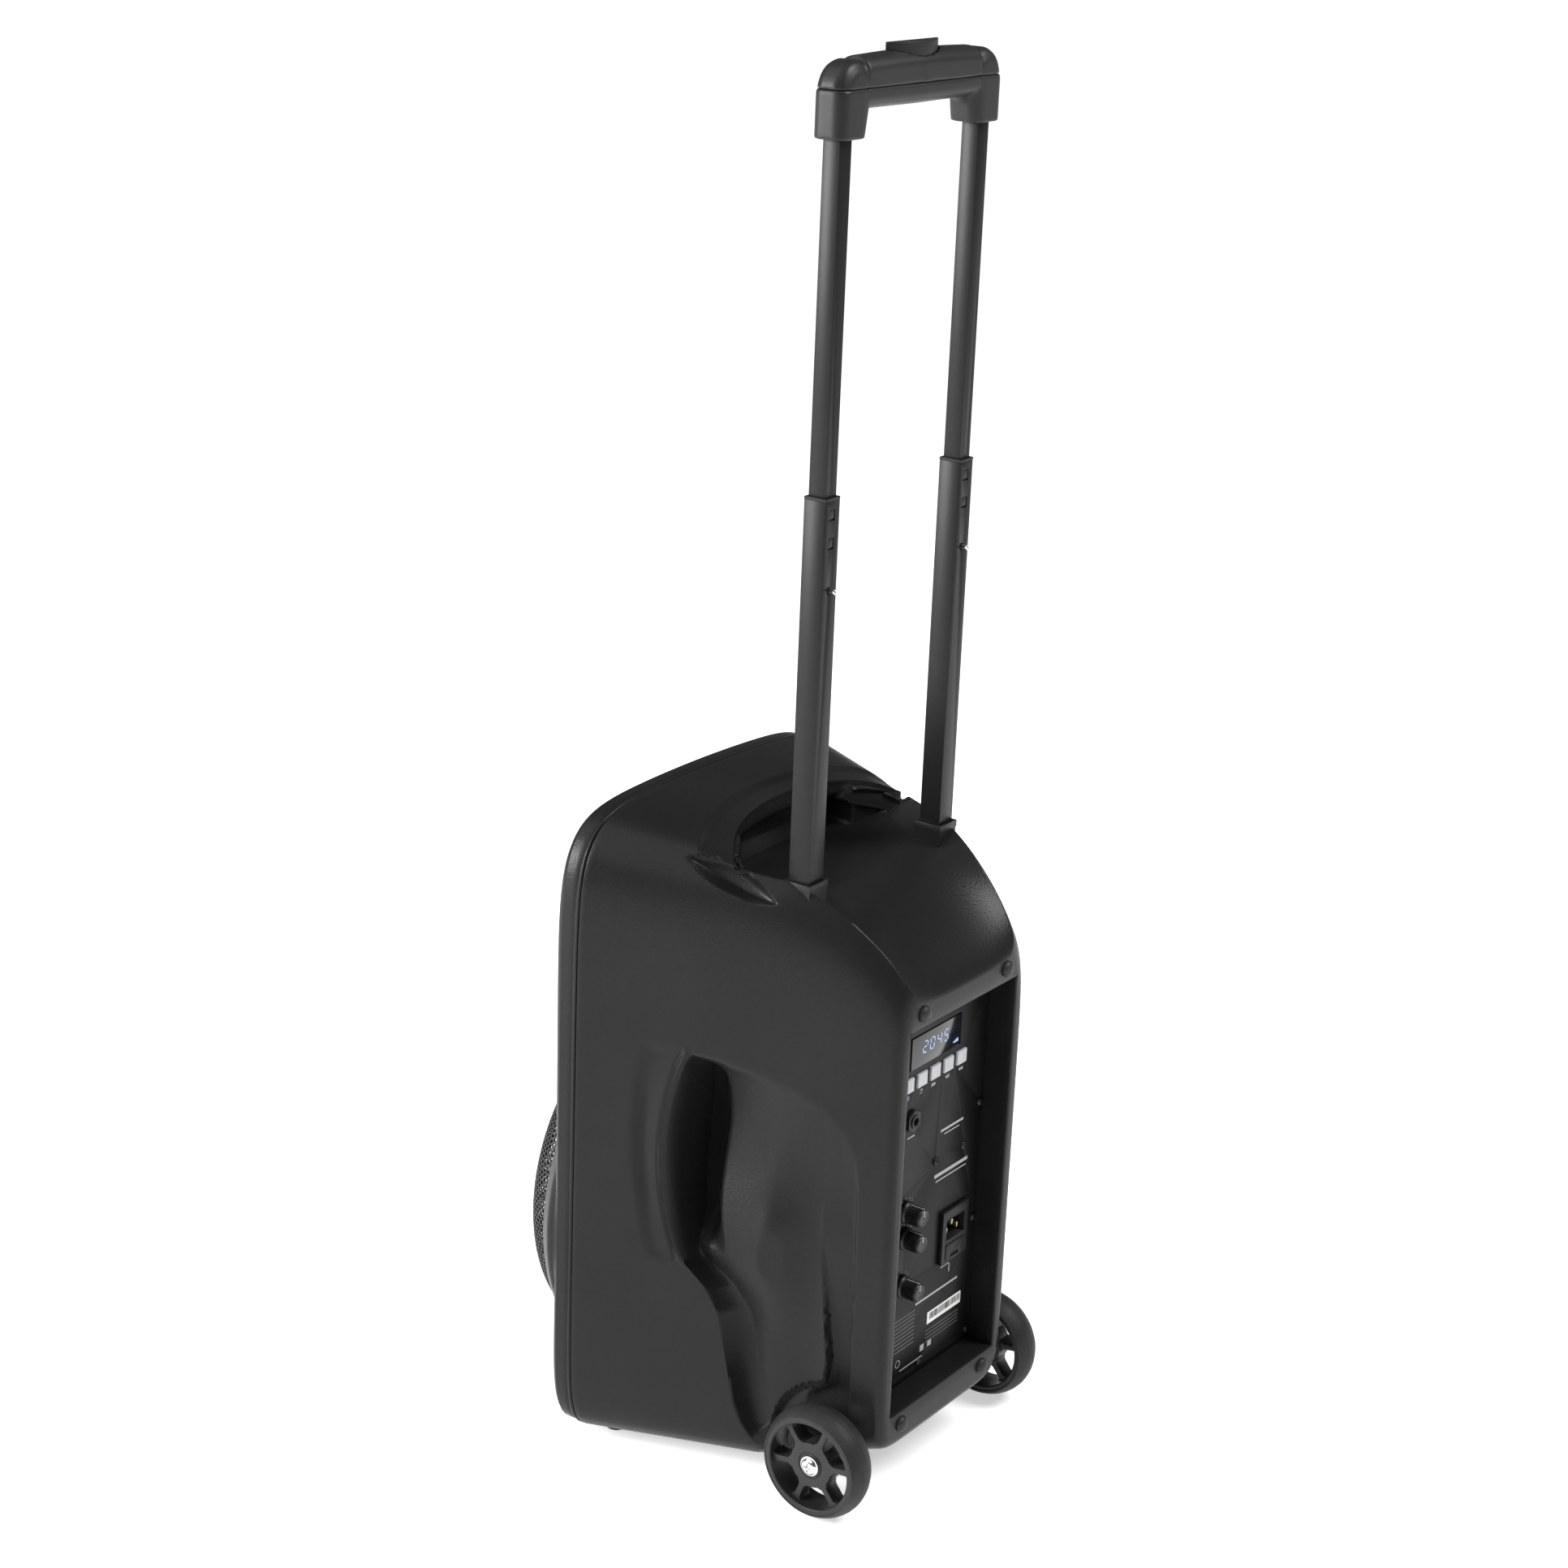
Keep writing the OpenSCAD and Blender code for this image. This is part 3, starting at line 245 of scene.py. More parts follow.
class Finish:
    def __init__(self, name, settings):
        self.material = bpy.data.materials.new(name)
        self.material.use_nodes = True
        self.tree = self.material.node_tree
        self.shader = self.tree.nodes["Principled BSDF"]
        for key, value in settings.items():
            self.shader.inputs[key].default_value = value
        self.place = self.node("ShaderNodeTexCoord", output="Object")

    def node(self, kind, settings=None, inputs=None, output=0):
        made = self.tree.nodes.new(kind)
        for key, value in (settings or {}).items():
            if key == "stops":
                for number, (at, colour) in enumerate(value):
                    if number > 1:
                        made.color_ramp.elements.new(at)
                    made.color_ramp.elements[number].position = at
                    made.color_ramp.elements[number].color = colour
            else:
                setattr(made, key, value)
        for key, value in (inputs or {}).items():
            if isinstance(value, Value):
                self.tree.links.new(value.socket, made.inputs[key])
            else:
                made.inputs[key].default_value = value
        return Value(self, made.outputs[output])

    def feed(self, key, value):
        self.tree.links.new(value.socket, self.shader.inputs[key])

    def noise(self, scale, detail=3.0, roughness=0.5):
        return self.node("ShaderNodeTexNoise", None,
                         {"Vector": self.place, "Scale": scale, "Detail": detail, "Roughness": roughness})

    def cells(self, scale):
        return self.node("ShaderNodeTexVoronoi", {"feature": "SMOOTH_F1"},
                         {"Vector": self.place, "Scale": scale, "Smoothness": 0.6})

    def ramp(self, factor, low, high):
        return self.node("ShaderNodeMapRange", None,
                         {"Value": factor, "From Min": low, "From Max": high}, output="Result")

    def between(self, factor, first, second):
        return self.node("ShaderNodeMix", {"data_type": "RGBA"},
                         {"Factor": factor, 6: (*first, 1), 7: (*second, 1)}, output=2)

    def relief(self, height, depth, strength=1.0):
        bump = self.node("ShaderNodeBump", None,
                         {"Height": height, "Distance": depth, "Strength": strength}, output="Normal")
        self.feed("Normal", bump)


# Each finish: two colours that drift into each other, roughness and its drift, grain per metre and depth
finishTable = {
    "shell_plastic": dict(dark=(0.008, 0.0081, 0.0085), light=(0.0125, 0.0126, 0.013), rough=0.34, drift=0.05,
                          shine=0.17, grain=620, depth=0.16 * mm, patch=9, coat=0.0),
    "inner_plastic": dict(dark=(0.007, 0.007, 0.0075), light=(0.012, 0.012, 0.0125), rough=0.46, drift=0.08,
                          grain=1500, depth=0.03 * mm, patch=25, coat=0.0),
    "grille_mesh": dict(dark=(0.02, 0.02, 0.021), light=(0.032, 0.032, 0.034), rough=0.5, drift=0.1,
                        grain=2600, depth=0.02 * mm, patch=30, coat=0.0),
    "light_lens": dict(dark=(0.62, 0.65, 0.68), light=(0.78, 0.8, 0.83), rough=0.32, drift=0.05,
                       grain=900, depth=0.02 * mm, patch=40, coat=0.2),
    "stamped_steel": dict(dark=(0.02, 0.02, 0.022), light=(0.05, 0.05, 0.055), rough=0.42, drift=0.12,
                          grain=900, depth=0.04 * mm, patch=20, coat=0.0),
    "foam_rubber": dict(dark=(0.012, 0.012, 0.012), light=(0.024, 0.024, 0.024), rough=0.85, drift=0.08,
                        grain=1400, depth=0.1 * mm, patch=30, coat=0.0),
    "paper_cone": dict(dark=(0.018, 0.018, 0.018), light=(0.04, 0.04, 0.039), rough=0.8, drift=0.1,
                       grain=500, depth=0.15 * mm, patch=60, coat=0.0),
    "ferrite": dict(dark=(0.04, 0.04, 0.042), light=(0.09, 0.09, 0.095), rough=0.6, drift=0.15,
                    grain=700, depth=0.06 * mm, patch=25, coat=0.0),
    "black_screws": dict(dark=(0.02, 0.02, 0.021), light=(0.045, 0.045, 0.047), rough=0.33, drift=0.12,
                         grain=2500, depth=0.02 * mm, patch=120, coat=0.0, metal=0.7),
    "bumper_rubber": dict(dark=(0.014, 0.014, 0.014), light=(0.026, 0.026, 0.026), rough=0.5, drift=0.1,
                          grain=1800, depth=0.03 * mm, patch=80, coat=0.0),
    "panel_metal": dict(dark=(0.003, 0.003, 0.0035), light=(0.0055, 0.0055, 0.006), rough=0.42, drift=0.08, shine=0.16,
                        grain=3200, depth=0.012 * mm, patch=18, coat=0.0),
    "circuit_board": dict(dark=(0.008, 0.07, 0.03), light=(0.02, 0.14, 0.06), rough=0.35, drift=0.1,
                          grain=350, depth=0.05 * mm, patch=90, coat=0.3),
    "raw_aluminium": dict(dark=(0.48, 0.48, 0.5), light=(0.66, 0.66, 0.68), rough=0.38, drift=0.12,
                          grain=1200, depth=0.02 * mm, patch=20, coat=0.0, metal=1.0),
    "battery_case": dict(dark=(0.03, 0.03, 0.033), light=(0.06, 0.06, 0.065), rough=0.5, drift=0.08,
                         grain=1100, depth=0.05 * mm, patch=15, coat=0.0),
    "zinc_steel": dict(dark=(0.42, 0.42, 0.43), light=(0.62, 0.62, 0.63), rough=0.34, drift=0.14,
                       grain=500, depth=0.03 * mm, patch=35, coat=0.0, metal=1.0),
    "display_window": dict(dark=(0.004, 0.005, 0.009), light=(0.008, 0.009, 0.014), rough=0.1, drift=0.04,
                           grain=300, depth=0.004 * mm, patch=30, coat=0.6),
    "pin_brass": dict(dark=(0.55, 0.47, 0.28), light=(0.75, 0.68, 0.5), rough=0.28, drift=0.1,
                      grain=900, depth=0.01 * mm, patch=60, coat=0.0, metal=1.0),
    "label_film": dict(dark=(0.66, 0.66, 0.64), light=(0.8, 0.8, 0.78), rough=0.5, drift=0.06,
                       grain=2000, depth=0.006 * mm, patch=60, coat=0.1),
    "key_rubber": dict(dark=(0.4, 0.41, 0.43), light=(0.52, 0.53, 0.55), rough=0.55, drift=0.08,
                       grain=2200, depth=0.015 * mm, patch=70, coat=0.0),
    "knob_plastic": dict(dark=(0.014, 0.014, 0.014), light=(0.026, 0.026, 0.027), rough=0.38, drift=0.1,
                         grain=1800, depth=0.02 * mm, patch=60, coat=0.0),
    "tube_steel": dict(dark=(0.007, 0.007, 0.0075), light=(0.011, 0.011, 0.0115), rough=0.36, drift=0.06,
                       grain=1500, depth=0.015 * mm, patch=8, coat=0.0, shine=0.18),
    "chromed_steel": dict(dark=(0.6, 0.6, 0.61), light=(0.78, 0.78, 0.79), rough=0.16, drift=0.08,
                          grain=900, depth=0.006 * mm, patch=90, coat=0.0, metal=1.0),
    "grip_plastic": dict(dark=(0.01, 0.01, 0.0105), light=(0.016, 0.016, 0.0165), rough=0.44, drift=0.08,
                         grain=1500, depth=0.05 * mm, patch=14, coat=0.0),
    "wheel_plastic": dict(dark=(0.012, 0.012, 0.0125), light=(0.022, 0.022, 0.0225), rough=0.42, drift=0.12,
                          grain=900, depth=0.05 * mm, patch=40, coat=0.0),
    "tyre_rubber": dict(dark=(0.008, 0.008, 0.0085), light=(0.02, 0.02, 0.0205), rough=0.58, drift=0.14,
                        grain=650, depth=0.12 * mm, patch=55, coat=0.0),
}


def makeFinish(name, look):
    finish = Finish(name, {"Metallic": look.get("metal", 0.0), "Coat Weight": look["coat"], "Coat Roughness": 0.15,
                           "Specular IOR Level": look.get("shine", 0.3)})
    patch = finish.ramp(finish.noise(look["patch"], 4.0), 0.3, 0.7)
    speckle = finish.noise(look["grain"], 2.0)
    finish.feed("Base Color", finish.between(patch * 0.7 + speckle * 0.3, look["dark"], look["light"]))
    smudge = finish.noise(look["patch"] * 2.3, 5.0, 0.6)
    finish.feed("Roughness", smudge * look["drift"] + (look["rough"] - look["drift"] / 2))
    pebbles = finish.cells(look["grain"])
    finish.relief(pebbles * 0.6 + speckle * 0.5, look["depth"], 0.8)
    return finish.material


finishes = {slot: makeFinish(slot, look) for slot, look in finishTable.items()}


def makeInk(name, colour, glow=0.0):
    finish = Finish(name, {"Roughness": 0.5})
    worn = finish.ramp(finish.noise(1800, 3.0), 0.25, 0.6)
    colours = finish.between(worn, [c * 0.8 for c in colour], colour)
    finish.feed("Base Color", colours)
    if glow:
        finish.shader.inputs["Emission Strength"].default_value = glow
        finish.feed("Emission Color", colours)
    finish.relief(finish.noise(2500), 0.01 * mm)
    return finish.material


whiteInk = makeInk("white_print", (0.36, 0.36, 0.36))
greyInk = makeInk("grey_print", (0.07, 0.07, 0.072))
blackInk = makeInk("black_print", (0.02, 0.02, 0.02))
paleGlow = makeInk("display_figures", (0.45, 0.62, 0.95), 0.5)
print("stage: finishes made,", len(finishes) + 4)


# ---- Cabinet surface, in millimetres; depth runs forward from the back face ----
cabinet = {
    "backHalfWidth": 81.0,
    "ridgeDepth": 95.0,
    "lipDepth": 126.0,
    "lipBow": 38.0,
    "lipHalfWidth": 111.0,
    "bellyBack": 41.0,
    "bellyMid": 13.5,
    "crownDrop": 19.0,
    "backDrop": 100.0,
    "crownArch": 8.0,
    "fallPower": 1.45,
    "topPower": 8.0,
    "bellyPower": 11.0,
    "wall": 3.0,
    "edgeRadius": 6.0,
    "flankSteps": 170,
    "topSteps": 130,
    "bellySteps": 30,
}
rearLow, rearHigh = [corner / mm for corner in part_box("rear_shell")]
frontLow, frontHigh = [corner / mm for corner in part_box("front_shell")]
panelLow, panelHigh = [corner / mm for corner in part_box("amp_panel")]
wheelLow, wheelHigh = [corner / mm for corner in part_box("tyre_right")]
backY = rearHigh.y
seamDepth = backY - rearLow.y
halfWidthFront = frontHigh.x
crownTop = frontHigh.z
bellyFront = frontLow.z
axleDepth = backY - (wheelLow.y + wheelHigh.y) / 2
axleHeight = (wheelLow.z + wheelHigh.z) / 2


def lerp(a, b, t):
    return a + (b - a) * t


def smooth(t):
    t = np.clip(t, 0, 1)
    return t * t * (3 - 2 * t)


def easedIn(t):
    return 1 - (1 - np.clip(t, 0, 1)) ** 2


def backFall(d):
    share = (cabinet["ridgeDepth"] - np.clip(d, 0, cabinet["ridgeDepth"])) / cabinet["ridgeDepth"]
    return (1 - share ** cabinet["fallPower"]) ** (1 / cabinet["fallPower"])


def halfWidth(d):
    return lerp(cabinet["backHalfWidth"], halfWidthFront, np.clip(d / seamDepth, 0, 1))


def crown(d):
    ridge = cabinet["ridgeDepth"]
    ahead = lerp(crownTop - cabinet["crownDrop"], crownTop, (d - ridge) / (seamDepth - ridge))
    behind = lerp(crownTop - cabinet["backDrop"], crownTop - cabinet["crownDrop"], backFall(d))
    return np.where(d >= ridge, ahead, behind)


def belly(d):
    ridge = cabinet["ridgeDepth"]
    ahead = lerp(cabinet["bellyMid"], bellyFront, (d - ridge) / (seamDepth - ridge))
    return np.where(d >= ridge, ahead, lerp(cabinet["bellyBack"], cabinet["bellyMid"], d / ridge))


def saddle(d, x):
    share = np.clip(abs(x) / (0.9 * halfWidth(d)), 0, 1)
    return lerp(lerp(380, 438, backFall(d)), crown(d) - cabinet["crownArch"], share ** 3)


gripLow, gripHigh = 168.0, 332.0


def scoopFront(z):
    middle, half = (gripLow + gripHigh) / 2, (gripHigh - gripLow) / 2
    bowed = 158 - 16 * ((np.minimum(z, gripHigh) - middle) / half) ** 2
    lower = np.interp(z, [20, 46, 64, 100, 133, 152, 168], [84, 99, 105, 111, 117, 127, 142])
    return np.where(z >= gripLow, bowed, lower)


def scoopTop(d):
    return np.interp(d, [24, 27, 36, 50, 73, 96, 119, 144, 160], [255, 274, 291, 305, 316, 323, 327, 330, 331])


def creaseDepth(z):
    return np.interp(z, [38, 67, 80, 90, 112, 134, 221], [92, 70, 54, 43, 41.5, 44, 51])


hollow = {
    "swell": 15, "swellTop": 268, "swellReach": 84,
    "ease": 13, "easeTop": 182, "easeReach": 70,
    "padBehind": 93.0, "padAhead": 96.5,
    "trough": 24, "troughLow": 172, "troughHigh": 330, "troughWidth": 30,
    "blend": 9.0, "archFloor": 90.5, "archRadius": 53,
}


# How far the side is sunk at a place on it: the scoop, its raised pad and the wheel arch
def sideSunk(d, z, x):
    skin = halfWidth(d)
    rise = hollow["swell"] * smooth((hollow["swellTop"] - z) / hollow["swellReach"])
    swell = rise - hollow["ease"] * smooth((hollow["easeTop"] - z) / hollow["easeReach"])
    pad = lerp(hollow["padBehind"], hollow["padAhead"] + swell, smooth((d - 45) / 45))
    drop = 6 * smooth((221 - z) / 90)
    band = skin - 3.4 - drop
    hard = np.where(d > creaseDepth(z), pad, lerp(band, pad, smooth((d - creaseDepth(z)) / 2 + 1)))
    reach = hollow["blend"]
    share = np.clip(0.5 + 0.5 * (band - pad) / reach, 0, 1)
    soft = lerp(band, pad, share) - reach * share * (1 - share)
    floor = lerp(hard, soft, smooth((z - 205) / 40))
    edge = lerp(16, 3.0, smooth((z - 150) / 20))
    behind = scoopFront(z) - d
    ends = smooth((z - hollow["troughLow"]) / 30) * smooth((hollow["troughHigh"] - z) / 30)
    trough = hollow["trough"] * ends * smooth((hollow["troughWidth"] - behind) / 20) * smooth(behind / 2.5)
    mask = easedIn((scoopFront(z) - d) / edge) * easedIn((scoopTop(d) - z) / 62) * smooth((d - 22.5) / 4.5)
    scoop = np.maximum(0, x - floor) * mask + trough
    fromAxle = np.hypot(d - axleDepth, z - axleHeight)
    arch = np.maximum(0, x - hollow["archFloor"]) * smooth((hollow["archRadius"] - fromAxle) / 5)
    return np.maximum(scoop, arch)


# The carrying grip moulded in front of the scoop: a strip that is let in on its front edge, with a bead behind
def gripStrip(d, z):
    back = 158 - 16 * ((np.clip(z, gripLow, gripHigh) - 250) / 82) ** 2
    front = np.interp(z, [168, 178, 205, 236, 271, 302, 333], [167, 170, 176, 181, 183, 180, 172])
    ends = smooth((z - gripLow) / 5) * smooth((gripHigh + 1 - z) / 5)
    bow = smooth((z - gripLow) / 60) * smooth((gripHigh - z) / 60)
    across = d - back
    letIn = (1.6 + 3.2 * bow) * smooth((front - d) / (1.5 + 4.5 * bow))
    flat = letIn * lerp(0.45, 1.0, smooth((across - 6) / 14))
    bead = -2.2 * smooth(1 - abs(across - 2.6) / 2.9) + 0.9 * smooth(1 - abs(across - 6.6) / 1.6)
    return np.where((d < front) & (across > -3), (flat + bead) * ends, 0)


# Leaf-shaped hollow on each shoulder: steep above, easy below
def leafHollow(d, z):
    along = (d - 125) / 33
    taper = np.clip(1 - along ** 2, 0, 1)
    middle = 447.5 + (d - 94) * 17 / 53
    across = (z - middle) / (8.2 * np.maximum(taper, 0.02) ** 0.8)
    shape = np.where(abs(across) < 1, (1 + across) * np.sqrt(np.clip(1 - across, 0, 1)) / 1.09, 0)
    return 9.5 * taper ** 0.7 * np.clip(shape, 0, 1)


def squareRing():
    def crowd(steps):
        t = 2 * np.arange(steps) / steps - 1
        return lerp(t, np.sin(np.pi / 2 * t), 0.35)
    flank, top, low = crowd(cabinet["flankSteps"]), crowd(cabinet["topSteps"]), crowd(cabinet["bellySteps"])
    across = np.concatenate([np.ones_like(flank), -top, -np.ones_like(flank), low])
    up = np.concatenate([flank, np.ones_like(top), -flank, -np.ones_like(low)])
    return across, up


def cornerFill(across, up):
    power = np.where(up > 0, cabinet["topPower"], cabinet["bellyPower"])
    return (abs(across) ** power + abs(up) ** power) ** (-1 / power)


def lipShift(x, d):
    fade = np.where(d < cabinet["lipDepth"], smooth(d / cabinet["lipDepth"]),
                    smooth((seamDepth - d) / (seamDepth - cabinet["lipDepth"])))
    return cabinet["lipBow"] * np.maximum(0, 1 - (x / cabinet["lipHalfWidth"]) ** 2) * fade


def flankShift(z, d):
    fade = np.where(d < 150, smooth(d / 150), smooth((seamDepth - d) / (seamDepth - 150)))
    return (scoopFront(z) - 150) * fade


# The riser under the handle's lip, as (share of the way down, share of its height, share of the pocket's depth)
riserDown = [0, 0.10, 0.16, 0.34, 0.40, 0.46, 0.64, 0.70, 0.80, 0.88, 1.0]
riserHeight = [0, 0.02, 0.08, 0.30, 0.36, 0.38, 0.40, 0.48, 0.80, 0.92, 1.0]
riserDepth = [0, 0.00, 0.03, 0.05, 0.12, 0.30, 1.00, 1.00, 1.00, 0.80, 0.0]


def shellRow(d, inset=0.0, riser=None, plain=False):
    across, up = squareRing()
    fill = cornerFill(across, up)
    top = np.where(up > 0, up ** 2, 0)
    flank = abs(across) ** 3
    middle = (crown(d) + belly(d)) / 2 + (crown(d) - belly(d)) / 2 * up * fill
    depth = d + lipShift(halfWidth(d) * across * fill, d) * top + flankShift(middle, d) * flank
    width = halfWidth(depth) - inset
    x = width * across * fill
    half = (crown(depth) - belly(depth)) / 2 - inset
    z = (crown(depth) + belly(depth)) / 2 + half * up * fill - cabinet["crownArch"] * (x / width) ** 2 * top
    onTop = up > 0.9
    low = np.minimum(z, saddle(depth, x))
    pocket = np.zeros_like(x)
    if riser is not None:
        tall = smooth((cabinet["lipHalfWidth"] - 14 - abs(x)) / 30)
        share = lerp(riser, np.interp(riser, riserDown, riserHeight), tall)
        pocketDepth = np.maximum(0, 178 - depth) * smooth((70 - abs(x)) / 7)
        pocket = np.where(onTop, np.interp(riser, riserDown, riserDepth) * pocketDepth, 0)
        z = np.where(onTop, lerp(z, low, share), z)
    elif d < cabinet["lipDepth"]:
        z = np.where(onTop, low, z)
    if plain:
        return np.stack([x, backY - depth, z], -1)
    # A shallow step down on the deck, just ahead of the lip
    stepFront = 184 - 27 * (x / 111) ** 2
    deck = np.where(onTop & (d > cabinet["lipDepth"] - 1.6) & (riser is None or riser < 0.2), 1.0, 0.0)
    z = z - 2.4 * smooth((stepFront - depth) / 7) * smooth((112 - abs(x)) / 16) * deck
    side = smooth((abs(across) - 0.75) / 0.25) * smooth((abs(across) - 0.7) / 0.2)
    sunk = sideSunk(depth, z, abs(x)) + gripStrip(depth, z)
    leaf = leafHollow(depth, z) * (up > 0.2) * (abs(x) > 60)
    x = np.sign(x) * (abs(x) - side * sunk - 0.72 * leaf)
    z = z - 0.69 * leaf
    return np.stack([x, backY - (depth + pocket), z], -1)


def rectRing(width, height, middle, depth):
    across, up = squareRing()
    return np.stack([width / 2 * across, np.full_like(across, backY - depth), middle + height / 2 * up], -1)


def buildRearShell():
    lip = cabinet["lipDepth"]
    rows = [shellRow(seamDepth, 0.9), shellRow(seamDepth - 0.5, 0.25)]
    rows += [shellRow(d) for d in np.arange(seamDepth - 1.2, 162, -3.2)]
    rows += [shellRow(d) for d in np.arange(161, 144, -0.9)]
    rows += [shellRow(d) for d in np.arange(143.5, lip + 2, -1.8)]
    risers = np.linspace(0, 1, 38)
    rows += [shellRow(lip + 1.5 - 3 * share, riser=share) for share in risers]
    rows += [shellRow(d) for d in np.arange(lip - 2.4, 56, -1.8)]
    rows += [shellRow(d) for d in np.arange(55.5, 19, -1.15)]
    rows += [shellRow(d) for d in np.arange(18, 7, -1.8)]
    rows += [shellRow(cabinet["edgeRadius"] * (1 - math.sin(a)), cabinet["edgeRadius"] * (1 - math.cos(a)))
             for a in np.radians([0, 15, 30, 45, 60, 75, 90])]
    outer = np.array(rows)
    openWide, openHigh = panelHigh.x - panelLow.x + 0.6, panelHigh.z - panelLow.z + 0.6
    middle = (panelLow.z + panelHigh.z) / 2
    panelDepth = backY - panelHigh.y
    backRow = outer[-1].copy()
    backRow[:, 1] = backY
    opening = rectRing(openWide, openHigh, middle, 0)
    rings = [lerp(backRow, opening, 0.5)]
    rings += [rectRing(openWide + 2 * grow, openHigh + 2 * grow, middle, depth)
              for grow, depth in [(1.0, 0), (0.3, 0.3), (0, 1.0), (0, 6), (0, panelDepth - 4), (0, panelDepth + 2),
                                  (-6, panelDepth + 2), (-6, panelDepth + 5), (3, panelDepth + 5), (3, 3)]]
    alongRow = np.gradient(outer, axis=1)
    downRows = np.gradient(outer, axis=0)
    normal = np.cross(downRows, alongRow)
    normal /= np.maximum(np.linalg.norm(normal, axis=-1, keepdims=True), 1e-6)
    if np.mean(normal[5, :cabinet["flankSteps"], 0]) < 0:
        normal = -normal
    inner = (outer - cabinet["wall"] * normal)[::7]
    inner[0, :, 1] = backY - seamDepth
    shell = gridBand(np.concatenate([outer, np.array(rings), inner[::-1]]))
    return finished(shell, "rearShell", "cabinet", "shell_plastic", ["rear_shell", "handle_cup"], 50)


rearShell = buildRearShell()
print("stage: rear shell,", len(rearShell.data.polygons), "faces")


# ---- Front shell: the seam's outline carried forward, merged with the woofer's round bulge ----
grilleLow, grilleHigh = [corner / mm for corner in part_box("woofer_grille")]
woofer = {
    "height": (grilleLow.z + grilleHigh.z) / 2,
    "bulgeRadius": 155.0,
    "rimDepth": 259.0,
    "faceDepth": 243.5,
    "domeDepth": backY - grilleLow.y,
    "hornHeight": 402.0,
    "hornWidth": 150.0,
    "hornTall": 84.0,
}


def buildFrontShell():
    outline = shellRow(seamDepth, plain=True)
    offset = np.stack([outline[:, 0], outline[:, 2] - woofer["height"]], -1)
    reach = np.hypot(offset[:, 0], offset[:, 1])
    direction = offset / reach[:, None]
    face, start = woofer["faceDepth"], seamDepth + 0.3

    def ring(radius, depth):
        return np.stack([direction[:, 0] * radius, np.full_like(reach, backY - depth),
                         woofer["height"] + direction[:, 1] * radius], -1)

    def merged(first, second, fillet=2.5):
        share = np.clip(0.5 + 0.5 * (second - first) / fillet, 0, 1)
        return lerp(first, second, share) + fillet * share * (1 - share)

    # The bead along the seam, a groove, the side and the rolled front edge, as (depth, inset)
    side = [(start, 1.6), (start + 0.3, 0.5), (start + 0.9, 0.05), (start + 1.8, 0.0), (start + 2.6, 0.15),
            (start + 3.2, 0.9), (start + 3.7, 1.5), (start + 4.4, 1.3), (start + 5.4, 0.9), (start + 8, 0.7)]
    side += [(lerp(face, start + 8, 0.5), 0.8)]
    side += [(face - 9 + 9 * math.sin(a), 0.9 + 8.4 * (1 - math.cos(a))) for a in np.radians(np.arange(0, 91, 10))]
    bulge = woofer["bulgeRadius"]
    rows = [ring(np.minimum(merged(reach - inset, np.full_like(reach, bulge - 1.5)), reach - 0.02)
                 if depth > start + 5 else reach - inset, depth) for depth, inset in side]
    edge = np.hypot(rows[-1][:, 0], rows[-1][:, 2] - woofer["height"])
    foot = np.minimum(edge - 0.5, bulge - 0.3)
    rows += [ring(lerp(edge, foot, share), face) for share in (0.25, 0.5, 0.75, 1.0)]
    bead = [(154.0, 245.4), (153, 247.6), (151.4, 250), (149.4, 252.6), (147.6, 255), (146.2, 257), (145, 258.4),
            (143.6, 259), (140.8, 259), (139.6, 258.4), (139, 257), (138.6, 254), (137, 251), (133, 249), (128, 247),
            (122, 245), (119, 244), (118, 243), (118, face - 3), (124, face - 3), (132, face - 3)]
    rows += [ring(np.minimum(radius, foot), depth) for radius, depth in bead]
    back = [(reach - 14, face - 3), (reach - 6, face - 6), (reach - 3.2, face - 10), (reach - 3.2, start)]
    rows += [ring(radius, depth) for radius, depth in back]
    shell = gridBand(np.array(rows))
    y0, y1 = (backY - face - 3) * mm, (backY - face + 6) * mm
    wide, tall = (woofer["hornWidth"] - 0.4) / 2 * mm, (woofer["hornTall"] - 0.4) / 2 * mm
    middle = woofer["hornHeight"] * mm
    horn = block((-wide, y0, middle - tall), (wide, y1, middle + tall))
    cutters = [horn]
    for x, z in shellScrews:
        bore = [(4.4 * mm, -0.5 * mm), (4.4 * mm, 6 * mm)]
        cutters.append(turned(bore, (x * mm, (backY - face) * mm, z * mm), "Y", 32))
    for cutter in cutters:
        cut(shell, cutter)
    return finished(shell, "frontShell", "cabinet", "shell_plastic", ["front_shell"], 40)


shellScrews = [(side * x, z) for side in (-1, 1) for x, z in ((136, 36), (146, 330), (132, 446), (56, 474))]


# ---- Woofer grille: a honeycomb sheet pressed into a dome ----
grille = {
    "pitch": 4.1,
    "web": 0.55,
    "thickness": 0.9,
    "seatRadius": 136.5,
    "domePower": 3.0,
}


